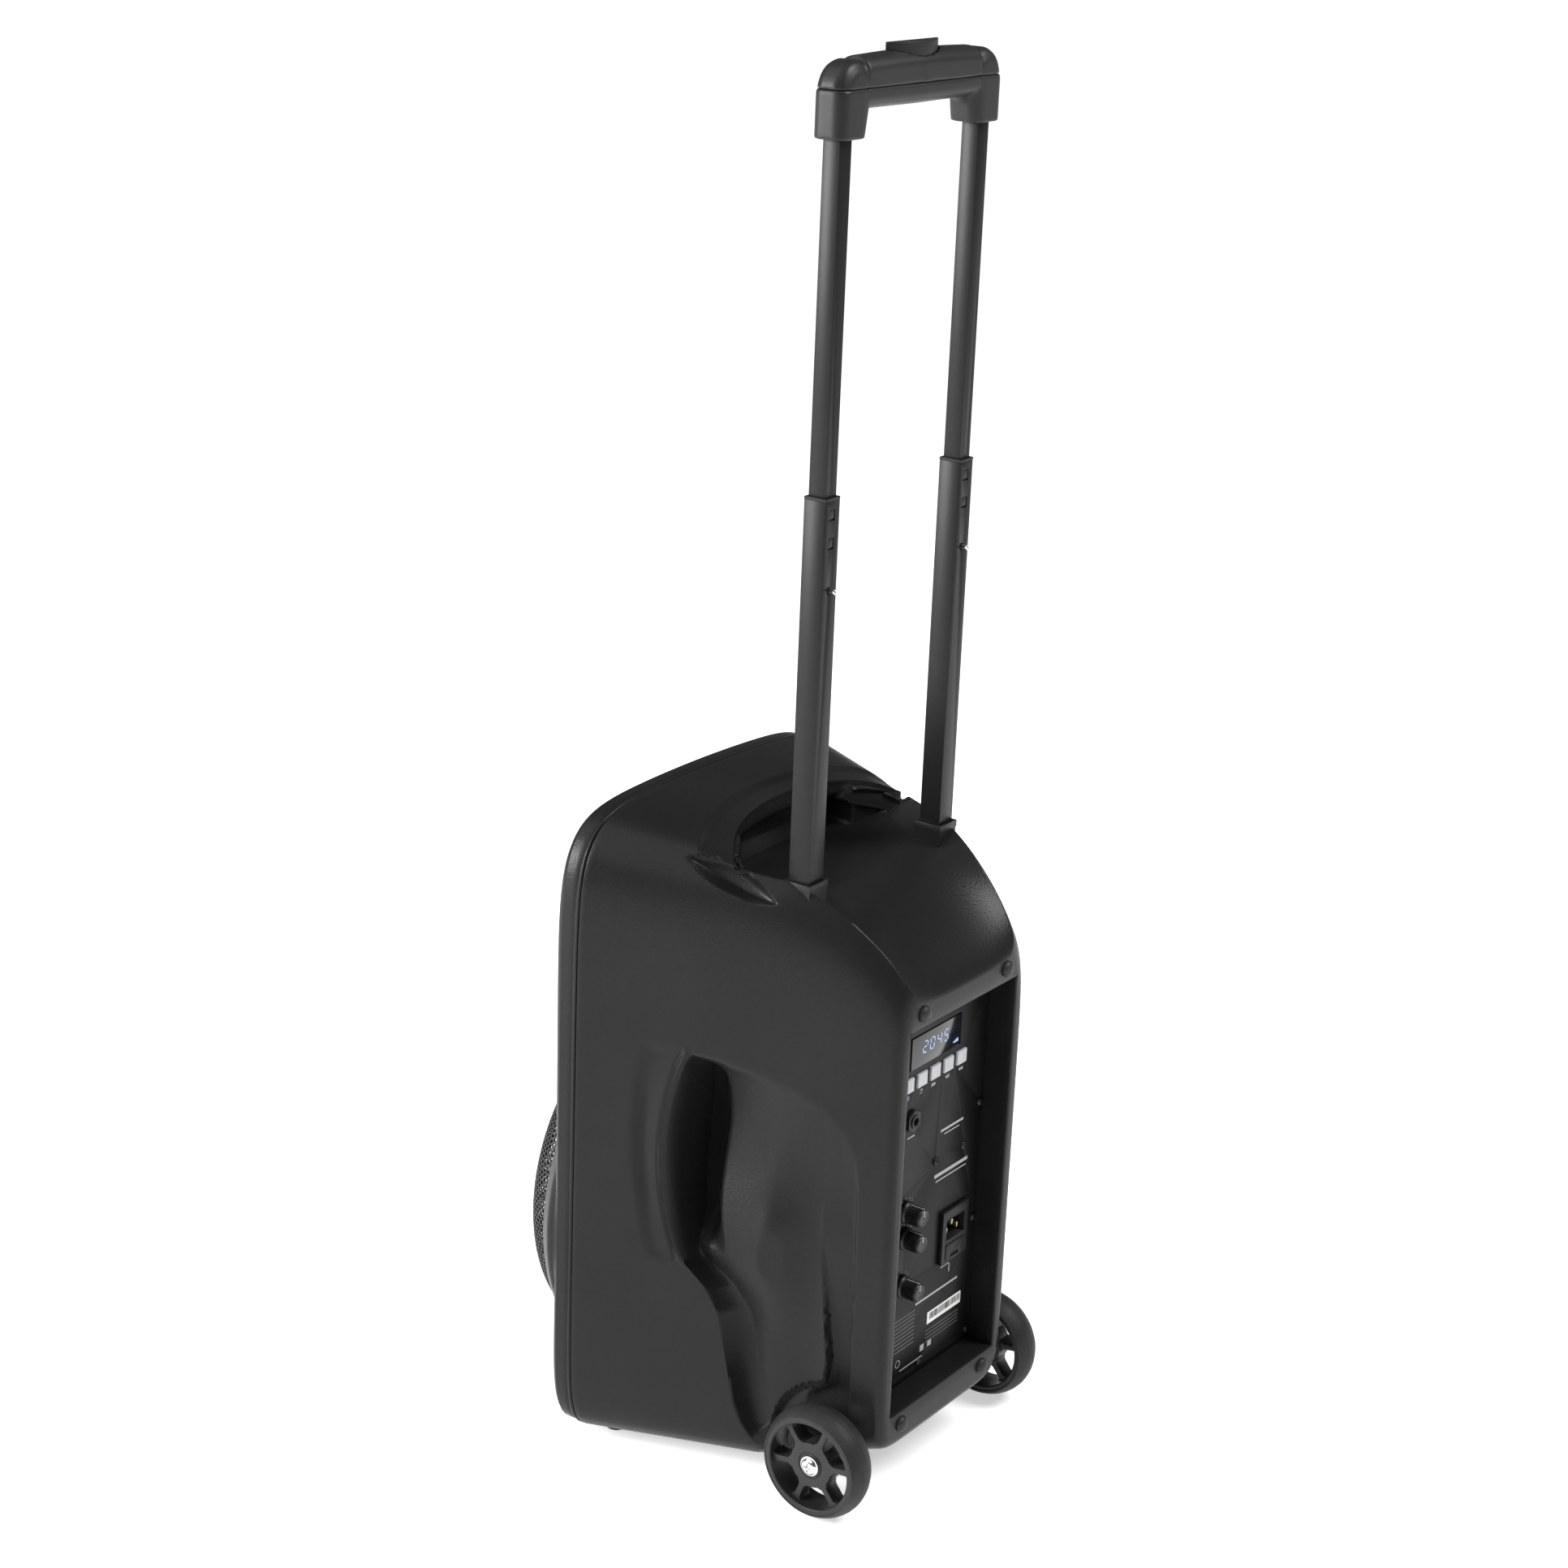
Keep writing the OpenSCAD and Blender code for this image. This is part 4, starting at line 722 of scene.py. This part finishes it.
def buildGrille():
    seat, rise = grille["seatRadius"], woofer["domeDepth"] - woofer["rimDepth"]
    angle = np.radians(np.linspace(0, 90, 400))
    radius = seat * np.sin(angle) ** (2 / grille["domePower"])
    depth = woofer["rimDepth"] - 3 + (rise + 3) * np.cos(angle) ** (2 / grille["domePower"])
    length = np.concatenate([[0], np.cumsum(np.hypot(np.diff(radius), np.diff(depth)))])
    pitch = grille["pitch"] * mm
    count = int(2 * length[-1] * mm / pitch) + 4
    activate(None)
    bpy.ops.mesh.primitive_circle_add(vertices=6, radius=pitch / math.sqrt(3), fill_type="NGON")
    sheet = bpy.context.object
    bpy.ops.object.mode_set(mode="EDIT")
    bpy.ops.mesh.inset(thickness=grille["web"] * mm)
    bpy.ops.mesh.delete(type="FACE")
    bpy.ops.object.mode_set(mode="OBJECT")
    modify(sheet, "ARRAY", count=count, use_relative_offset=False, use_constant_offset=True,
           constant_offset_displace=(pitch, 0, 0), use_merge_vertices=True, merge_threshold=pitch / 50)
    rowStep = pitch * math.sqrt(3) / 2
    modify(sheet, "ARRAY", count=2, use_relative_offset=False, use_constant_offset=True,
           constant_offset_displace=(pitch / 2, rowStep, 0), use_merge_vertices=True, merge_threshold=pitch / 50)
    modify(sheet, "ARRAY", count=int(2 * length[-1] * mm / (2 * rowStep)) + 2, use_relative_offset=False,
           use_constant_offset=True, constant_offset_displace=(0, 2 * rowStep, 0), use_merge_vertices=True,
           merge_threshold=pitch / 50)
    flat = np.array([v.co for v in sheet.data.vertices]) / mm
    flat -= (flat.max(0) + flat.min(0)) / 2
    along = np.hypot(flat[:, 0], flat[:, 1])
    turn = np.arctan2(flat[:, 1], flat[:, 0])
    shown = along < length[-1] - 0.5
    away = np.interp(along, length, radius)
    forward = np.interp(along, length, depth)
    placed = np.stack([away * np.cos(turn), backY - forward, woofer["height"] + away * np.sin(turn)], -1) * mm
    sheet.data.vertices.foreach_set("co", placed.astype(np.float32).ravel())
    activate(sheet)
    for vertex, keep in zip(sheet.data.vertices, shown):
        vertex.select = not keep
    bpy.ops.object.mode_set(mode="EDIT")
    bpy.ops.mesh.select_mode(type="VERT")
    bpy.ops.object.mode_set(mode="OBJECT")
    for vertex, keep in zip(sheet.data.vertices, shown):
        vertex.select = not bool(keep)
    bpy.ops.object.mode_set(mode="EDIT")
    bpy.ops.mesh.delete(type="VERT")
    bpy.ops.mesh.select_all(action="SELECT")
    bpy.ops.mesh.normals_make_consistent(inside=False)
    bpy.ops.object.mode_set(mode="OBJECT")
    modify(sheet, "SOLIDIFY", thickness=grille["thickness"] * mm, offset=-1)
    return finished(joined([sheet, grilleLip(seat)]), "wooferGrille", "cabinet", "grille_mesh", ["woofer_grille"], 50)


def grilleLip(seat):
    profile = [(seat - 3.2, 0.4), (seat - 1.6, -1.6), (seat + 0.2, -1.8), (seat + 1.2, -0.4),
               (seat + 1.2, 3.6), (seat - 3.2, 3.6)]
    return turned([(r * mm, h * mm) for r, h in profile],
                  (0, (backY - woofer["rimDepth"]) * mm, woofer["height"] * mm), "Y", 128, True)


# ---- Wheels ----
wheel = {
    "tread": 42.2,
    "face": 37.9,
    "ringOut": 36.4,
    "ringIn": 32.8,
    "hub": 17.3,
    "sink": 3.6,
    "bore": 4.05,
    "phase": 9.0,
}


def buildWheel():
    centre = Vector((0, (wheelLow.y + wheelHigh.y) / 2, axleHeight)) * mm
    outer, inner = wheelHigh.x, wheelLow.x
    middle, half = (outer + inner) / 2, (outer - inner) / 2
    tread = []
    for t in np.linspace(-1, 1, 17):
        groove = 0.25 * math.cos(t * 9) ** 8
        tread.append((wheel["face"] + (wheel["tread"] - wheel["face"]) * (1 - t * t) - groove, middle + half * t))
    tyre = turned([(r * mm, h * mm) for r, h in [(wheel["ringOut"] + 0.05, inner + 0.2)] + tread +
                   [(wheel["ringOut"] + 0.05, outer - 0.1)]], centre, "X", 96, True)
    rim = [(wheel["ringIn"], inner + 2.2), (wheel["ringIn"] + 1, inner + 1.2), (wheel["ringOut"], inner + 1.2),
           (wheel["ringOut"], outer - 0.3), (wheel["ringOut"] - 0.5, outer - 0.1), (wheel["ringIn"] + 0.7, outer - 0.2),
           (wheel["ringIn"] + 0.1, outer - 0.8), (wheel["ringIn"] - 0.5, outer - 5), (wheel["ringIn"] - 1, middle)]
    rim = turned([(r * mm, h * mm) for r, h in rim], centre, "X", 96, True)
    face = outer - wheel["sink"]
    hub = [(wheel["bore"], inner + 1.4), (9, inner + 1.4), (9.6, inner + 5.2), (wheel["hub"] - 1, inner + 5.2),
           (wheel["hub"] - 0.2, inner + 6.2), (wheel["hub"], face - 0.8), (wheel["hub"] - 0.3, face - 0.2),
           (wheel["hub"] - 1, face), (10.4, face), (10, face - 0.6), (9.2, face - 0.6), (8.8, face),
           (wheel["bore"], face)]
    hub = turned([(r * mm, h * mm) for r, h in hub], centre, "X", 72, True)
    spokes = []
    for number in range(6):
        # Each spoke flares where it meets the hub and the ring, and its face dips towards the ring
        sections = [(15.6, 5.4, 0.2), (17.2, 4.4, 0.2), (18.6, 3.0, 0.25), (20.2, 2.3, 0.3), (25, 2.2, 0.35),
                    (29, 2.3, 0.5), (30.8, 3.0, 0.7), (32.0, 4.4, 1.0), (33.6, 5.6, 1.2)]
        low = inner + 8
        outlines = [(w * math.sqrt(2) * mm, (face - drop - low) / math.sqrt(2) * mm, r * mm) for r, w, drop in sections]
        spoke = lofted(outlines, (0, 0, 0), "Z", 4, spin=math.pi / 4)
        spoke.data.transform(Matrix.Rotation(math.pi / 2, 4, "Z"))
        spoke.data.transform(Matrix.Translation((((face + low) / 2) * mm, 0, 0)))
        modify(spoke, "BEVEL", width=0.45 * mm, segments=2, limit_method="ANGLE", angle_limit=math.radians(50))
        spoke.data.transform(Matrix.Rotation(math.radians(60 * number + wheel["phase"] - 90), 4, "X"))
        spoke.data.transform(Matrix.Translation(centre))
        spokes.append(spoke)
    return tyre, joined([rim, hub] + spokes)


def placeWheels():
    tyre, hub = buildWheel()
    for side, body in (("Left", "wheel_l"), ("Right", "wheel_r")):
        node = side.lower()
        for piece, kind, slotName in ((tyre, "tyre", "tyre_rubber"), (hub, "wheel", "wheel_plastic")):
            made = mirrored(piece) if side == "Left" else piece
            finished(made, kind + side, body, slotName, [kind + "_" + node], 35)


# ---- Grip: both mouldings melted to soft corners, with the parting line left open ----
def buildGrip():
    for node, name in (("grip_lower", "gripLower"), ("grip_cover", "gripCover")):
        piece = softened(node, 0)
        modify(piece, "REMESH", mode="VOXEL", voxel_size=1.15 * mm)
        modify(piece, "SMOOTH", factor=0.5, iterations=4)
        finished(piece, name, "trolley_upper", "grip_plastic", [node], 60)
    button = softened("release_button", 0.9 * mm, 3, 50)
    finished(button, "releaseButton", "release", "grip_plastic", ["release_button"], 40)


# ---- Control panel: keys, knobs and printed marks ----
panel = {
    "print": 0.16,
    "keyPitch": 17.1,
    "keyHeight": 308.0,
    "knobAcross": 29.0,
}
panelFace = panelHigh.y


# A flat printed mark, given by its corners on the panel
def mark(corners, raised=0.0):
    activate(None)
    bpy.ops.mesh.primitive_circle_add(vertices=len(corners), radius=1, fill_type="NGON")
    piece = bpy.context.object
    middle = sum(x for x, z in corners) / len(corners), sum(z for x, z in corners) / len(corners)
    ordered = sorted(corners, key=lambda c: math.atan2(c[1] - middle[1], c[0] - middle[0]))
    spun = sorted(piece.data.vertices, key=lambda v: math.atan2(v.co.y, v.co.x))
    for vertex, (x, z) in zip(spun, ordered):
        vertex.co = (x * mm, (panelFace + 0.01 + raised) * mm, z * mm)
    activate(piece)
    bpy.ops.object.mode_set(mode="EDIT")
    bpy.ops.mesh.select_all(action="SELECT")
    bpy.ops.mesh.extrude_region_move(TRANSFORM_OT_translate={"value": (0, panel["print"] * mm, 0)})
    bpy.ops.mesh.select_all(action="SELECT")
    bpy.ops.mesh.normals_make_consistent(inside=False)
    bpy.ops.object.mode_set(mode="OBJECT")
    return piece


def stripe(x, z, wide, tall, raised=0.0):
    left, right, low, high = x - wide / 2, x + wide / 2, z - tall / 2, z + tall / 2
    return mark([(left, low), (right, low), (right, high), (left, high)], raised)


def ringMark(x, z, radius, start, end, wide=0.5, steps=14):
    made = []
    for a, b in zip(np.linspace(start, end, steps + 1), np.linspace(start, end, steps + 1)[1:]):
        ends = [(math.cos(math.radians(t)), math.sin(math.radians(t))) for t in (a, b)]
        made.append(mark([(x + c * r, z + s * r) for c, s in ends for r in (radius, radius + wide)]))
    return made


def triangle(x, z, size, way):
    return mark([(x - way * size / 2, z), (x + way * size / 2, z + size / 1.6), (x + way * size / 2, z - size / 1.6)])


# Seven-segment figures in the display window
def figures(text, x0, z0, wide, tall, pitch, raised):
    segments = {"a": (0, 1, 1), "b": (1, 0.75, 0), "c": (1, 0.25, 0), "d": (0, 0, 1), "e": (-1, 0.25, 0),
                "f": (-1, 0.75, 0), "g": (0, 0.5, 1)}
    shapes = {"0": "abcdef", "1": "bc", "2": "abged", "3": "abgcd", "4": "fgbc", "5": "afgcd", "8": "abcdefg"}
    made = []
    for number, sign in enumerate(text):
        middle = x0 - number * pitch
        for name in shapes.get(sign, ""):
            across, up, level = segments[name]
            lean = (up - 0.5) * -1.2
            x, z = middle - across * wide / 2 + lean, z0 + (up - 0.5) * tall
            size = (wide * 0.66, 0.6) if level else (0.6, tall * 0.38)
            made.append(stripe(x, z, *size, raised))
    return made


def buildPanel():
    ink, dim, glow = [], [], []
    for number, node in enumerate(["mode_key", "repeat_key", "previous_key", "play_key", "next_key"]):
        key = softened(node, 0.55 * mm, 3, 30)
        finished(key, node.replace("_key", "Key"), "key_" + node.split("_")[0], "key_rubber", [node], 45)
        x, z = (2 - number) * panel["keyPitch"], panel["keyHeight"] - 9.6
        if number == 0:
            ink += [stripe(x, z + d, 4.2, 0.5) for d in (-1.2, 0, 1.2)]
        elif number == 1:
            ink += ringMark(x, z, 1.3, 30, 330, 0.45, 10) + [triangle(x - 1.6, z + 1.2, 1.5, 1)]
        elif number == 2:
            ink += [triangle(x + 1.4, z, 2.4, 1), triangle(x - 1.0, z, 2.4, 1), stripe(x + 3.0, z, 0.5, 2.8)]
        elif number == 3:
            ink += [triangle(x + 1.2, z, 2.6, -1), stripe(x - 1.1, z, 0.6, 2.8), stripe(x - 2.3, z, 0.6, 2.8)]
        else:
            ink += [triangle(x + 1.0, z, 2.4, -1), triangle(x - 1.4, z, 2.4, -1), stripe(x - 3.0, z, 0.5, 2.8)]
    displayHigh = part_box("display_module")[1] / mm
    glassRaise = displayHigh.y - panelFace
    glow += figures("2045", 15.5, 332.5, 5.0, 8.4, 9.0, glassRaise)
    glow += [stripe(-22.0 - step * 1.3, 323.2 + step * 0.2, 0.7, 1.0 + step * 0.4, glassRaise) for step in range(5)]
    # Rings of ticks round the knobs
    for z in (208.7, 188.3, 149.8):
        for angle in range(-135, 136, 27):
            turn = math.radians(90 + angle)
            c, s = math.cos(turn), math.sin(turn)
            x0, z0 = panel["knobAcross"] + c * 9.9, z + s * 9.9
            ink.append(mark([(x0 - s * 0.2, z0 + c * 0.2), (x0 + s * 0.2, z0 - c * 0.2),
                             (x0 + c * 1.3 + s * 0.2, z0 + s * 1.3 - c * 0.2),
                             (x0 + c * 1.3 - s * 0.2, z0 + s * 1.3 + c * 0.2)]))
    # A wide wordless badge, a thin sub-line, a guide line and a corner mark
    ink += [stripe(-28, 256.5, 30, 1.8), stripe(-28, 252.8, 20, 0.8), stripe(-30, 222, 44, 2.6),
            stripe(-30, 217.4, 40, 0.9)]
    ink += [stripe(57, 248, 0.7, 22), stripe(-30, 143, 12, 0.9), stripe(-35.6, 139.4, 0.9, 8)]
    ink += [stripe(-20, 126, 56, 1.6)]
    for row in range(9):
        dim.append(stripe(30 - (row % 3) * 1.5, 122 - row * 3.2, 44 - (row % 3) * 3, 0.9))
    dim += [stripe(-30, 97.5 - row * 3, 44, 0.8) for row in range(4)]
    ink += ringMark(38, 86, 2.6, 0, 360, 0.5) + ringMark(28, 86, 2.6, 0, 360, 0.5)
    ink += [stripe(-4, 86, 5, 5), stripe(-14, 86, 5, 5)]
    ink += [stripe(10, 79, 30, 0.8), stripe(0.5, 348.5, 26, 1.1), stripe(27, 266.5, 9, 1.0), stripe(44, 208.7, 6, 0.9),
            stripe(44, 188.3, 6, 0.9), stripe(44, 149.8, 6, 0.9)]
    finished(joined(ink), "panelPrint", "cabinet", "label_film", material=whiteInk)
    finished(joined(dim), "panelFinePrint", "cabinet", "label_film", material=greyInk)
    finished(joined(glow), "displayFigures", "cabinet", "display_window", material=paleGlow)
    labelLow, labelHigh = [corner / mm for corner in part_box("label_plate")]
    bars, rng = [], np.random.default_rng(7)
    x = labelLow.x + 2
    while x < labelHigh.x - 3:
        wide = float(rng.choice([0.35, 0.6, 0.9]))
        bars.append(stripe(x, (labelLow.z + labelHigh.z) / 2 + 0.8, wide, 5.2, 0.33))
        x += wide + float(rng.choice([0.5, 0.8, 1.1]))
    finished(joined(bars), "labelBars", "cabinet", "label_film", material=blackInk)


knobProfile = [(3.1, 0), (8.2, 0), (8.6, 0.4), (8.6, 1.6), (8.1, 2.3), (7.3, 3.0), (6.9, 8), (6.6, 13),
               (6.3, 14.2), (5.6, 14.9), (4.4, 15.0), (4.0, 14.7), (0.6, 14.7), (0.6, 10.6), (3.1, 10.6)]


def buildKnobs():
    places = {"mic": 208.7, "echo": 188.3, "volume": 149.8}
    for name, z in places.items():
        node = name + "_knob"
        base = Vector((panel["knobAcross"] * mm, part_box(node)[0].y, z * mm))
        skirt = turned([(r * mm, h * mm) for r, h in knobProfile], base, "Y", 48, True)
        ribs = []
        for number in range(24):
            rib = block((-0.35 * mm, 3.4 * mm, 6.4 * mm), (0.35 * mm, 13.4 * mm, 7.25 * mm))
            rib.data.transform(Matrix.Rotation(math.radians(15 * number), 4, "Y"))
            rib.data.transform(Matrix.Translation(base))
            ribs.append(rib)
        finished(joined([skirt] + ribs), name + "Knob", "knob_" + name, "knob_plastic", [node], 35)
        pointer = block((-0.45 * mm, 14.65 * mm, 1.2 * mm), (0.45 * mm, 15.0 * mm, 6.0 * mm))
        side = block((-0.45 * mm, 3.2 * mm, 6.9 * mm), (0.45 * mm, 14.4 * mm, 7.3 * mm))
        pointer = joined([pointer, side])
        pointer.data.transform(Matrix.Translation(base))
        finished(pointer, name + "Pointer", "knob_" + name, "label_film", material=whiteInk)


# ---- Trolley tubes, collars, sockets and the rest of the hard parts, with softened edges ----
softenedParts = {
    "mid_tube_left": 0.7, "mid_tube_right": 0.7, "upper_tube_left": 0.6, "upper_tube_right": 0.6,
    "collar_left": 0.3, "collar_right": 0.3, "socket_left": 0.5, "socket_right": 0.5, "mains_inlet": 0.5,
    "fuse_drawer": 0.4, "switch_bezel": 0.3, "power_rocker": 0.3, "display_module": 0.2, "mic_jack": 0.4,
    "tweeter_horn": 0.5, "front_feet": 0.4, "back_bumpers": 0.3, "shell_screws": 0.2, "panel_screws": 0.12,
    "amp_panel": 0.15, "inlet_pins": 0.15, "wheel_screw_left": 0.25, "wheel_screw_right": 0.25, "heat_sink": 0.2,
    "battery": 1.2, "power_supply": 0.3,
}


def softenParts():
    slotOf = {part["node"]: part["material_slot"] for part in record["subparts"]}
    bodyOf = {node: body for body, nodes in record["behaviour"]["bodies"].items() for node in nodes}
    for node, bevel in softenedParts.items():
        words = node.split("_")
        name = words[0] + "".join(word.title() for word in words[1:])
        piece = softened(node, bevel * mm, 2, 35)
        finished(piece, name, bodyOf[node], slotOf[node], [node], 30)
    for node, piece in frame["nodes"].items():
        if not piece.hide_render:
            piece.data.materials.clear()
            piece.data.materials.append(finishes[slotOf[node]])


frontShell = buildFrontShell()
print("stage: front shell,", len(frontShell.data.polygons), "faces")
wooferGrille = buildGrille()
print("stage: grille,", len(wooferGrille.data.polygons), "faces")
placeWheels()
buildGrip()
print("stage: wheels and grip")
buildPanel()
buildKnobs()
print("stage: panel and knobs")
softenParts()
print("stage: softened parts")


# ---- Floor, lights and camera ----
studio = {
    "floorSize": 80.0,
    "floorGlow": 0.52,
    "worldStrength": 0.14,
    "keyStrength": 1.7,
    "keyAngle": 70,
    "keyTurn": (38, 0, 62),
    "cameraAzimuth": 124.87,
    "cameraPitch": 18.72,
    "cameraRoll": 2.293,
    "cameraPlace": (1.6935, 1.0183, 1.1903),
    "lens": 70.17,
    "sensor": 36,
    "boxes": {
        "leftBox": ((2.5, -2.1, 1.35), (0, 0, 0.35), (0.8, 1.5), 150),
        "rearBox": ((-0.9, 1.6, 2.6), (0, 0, 0.45), (0.8, 1.4), 70),
    },
}


def buildStudio():
    activate(None)
    bpy.ops.mesh.primitive_plane_add(size=studio["floorSize"])
    floor = bpy.context.object
    floor.name = "floor"
    paper = Finish("floor_paper", {"Roughness": 0.9})
    paper.feed("Base Color", paper.between(paper.noise(3.0), (0.9, 0.9, 0.9), (0.93, 0.93, 0.93)))
    paper.shader.inputs["Emission Color"].default_value = (1, 1, 1, 1)
    paper.shader.inputs["Emission Strength"].default_value = studio["floorGlow"]
    floor.data.materials.append(paper.material)
    world = bpy.data.worlds.new("studio")
    bpy.context.scene.world = world
    world.use_nodes = True
    world.node_tree.nodes["Background"].inputs["Color"].default_value = (1, 1, 1, 1)
    world.node_tree.nodes["Background"].inputs["Strength"].default_value = studio["worldStrength"]
    bpy.ops.object.light_add(type="SUN", rotation=[math.radians(turn) for turn in studio["keyTurn"]])
    key = bpy.context.object.data
    key.energy, key.angle = studio["keyStrength"], math.radians(studio["keyAngle"])


def addSoftbox(name, place, aim, size, watts):
    bpy.ops.object.light_add(type="AREA", location=place)
    lamp = bpy.context.object
    lamp.name = name
    lamp.rotation_euler = (Vector(place) - Vector(aim)).to_track_quat("Z", "Y").to_euler()
    lamp.data.shape = "RECTANGLE"
    lamp.data.size, lamp.data.size_y = size
    lamp.data.energy = watts


def addCamera():
    azimuth, pitch, roll = [math.radians(studio[k]) for k in ("cameraAzimuth", "cameraPitch", "cameraRoll")]
    back = Vector((math.sin(azimuth) * math.cos(pitch), -math.cos(azimuth) * math.cos(pitch), math.sin(pitch)))
    right = Vector((math.cos(azimuth), math.sin(azimuth), 0))
    over = back.cross(right)
    turnedRight = math.cos(roll) * right + math.sin(roll) * over
    turnedUp = math.cos(roll) * over - math.sin(roll) * right
    place = Vector(studio["cameraPlace"]) + Vector((0, backY * mm, 0))
    bpy.ops.object.camera_add()
    camera = bpy.context.object
    camera.data.lens = studio["lens"]
    camera.data.sensor_width = studio["sensor"]
    rows = [[*row, at] for row, at in zip(zip(turnedRight, turnedUp, back), place)]
    camera.matrix_world = Matrix(rows + [[0, 0, 0, 1]])
    bpy.context.scene.camera = camera


buildStudio()
for boxName, (place, aim, size, watts) in studio["boxes"].items():
    addSoftbox(boxName, place, aim, size, watts)
addCamera()
bpy.context.scene.view_settings.view_transform = "Standard"
print("stage: studio ready")
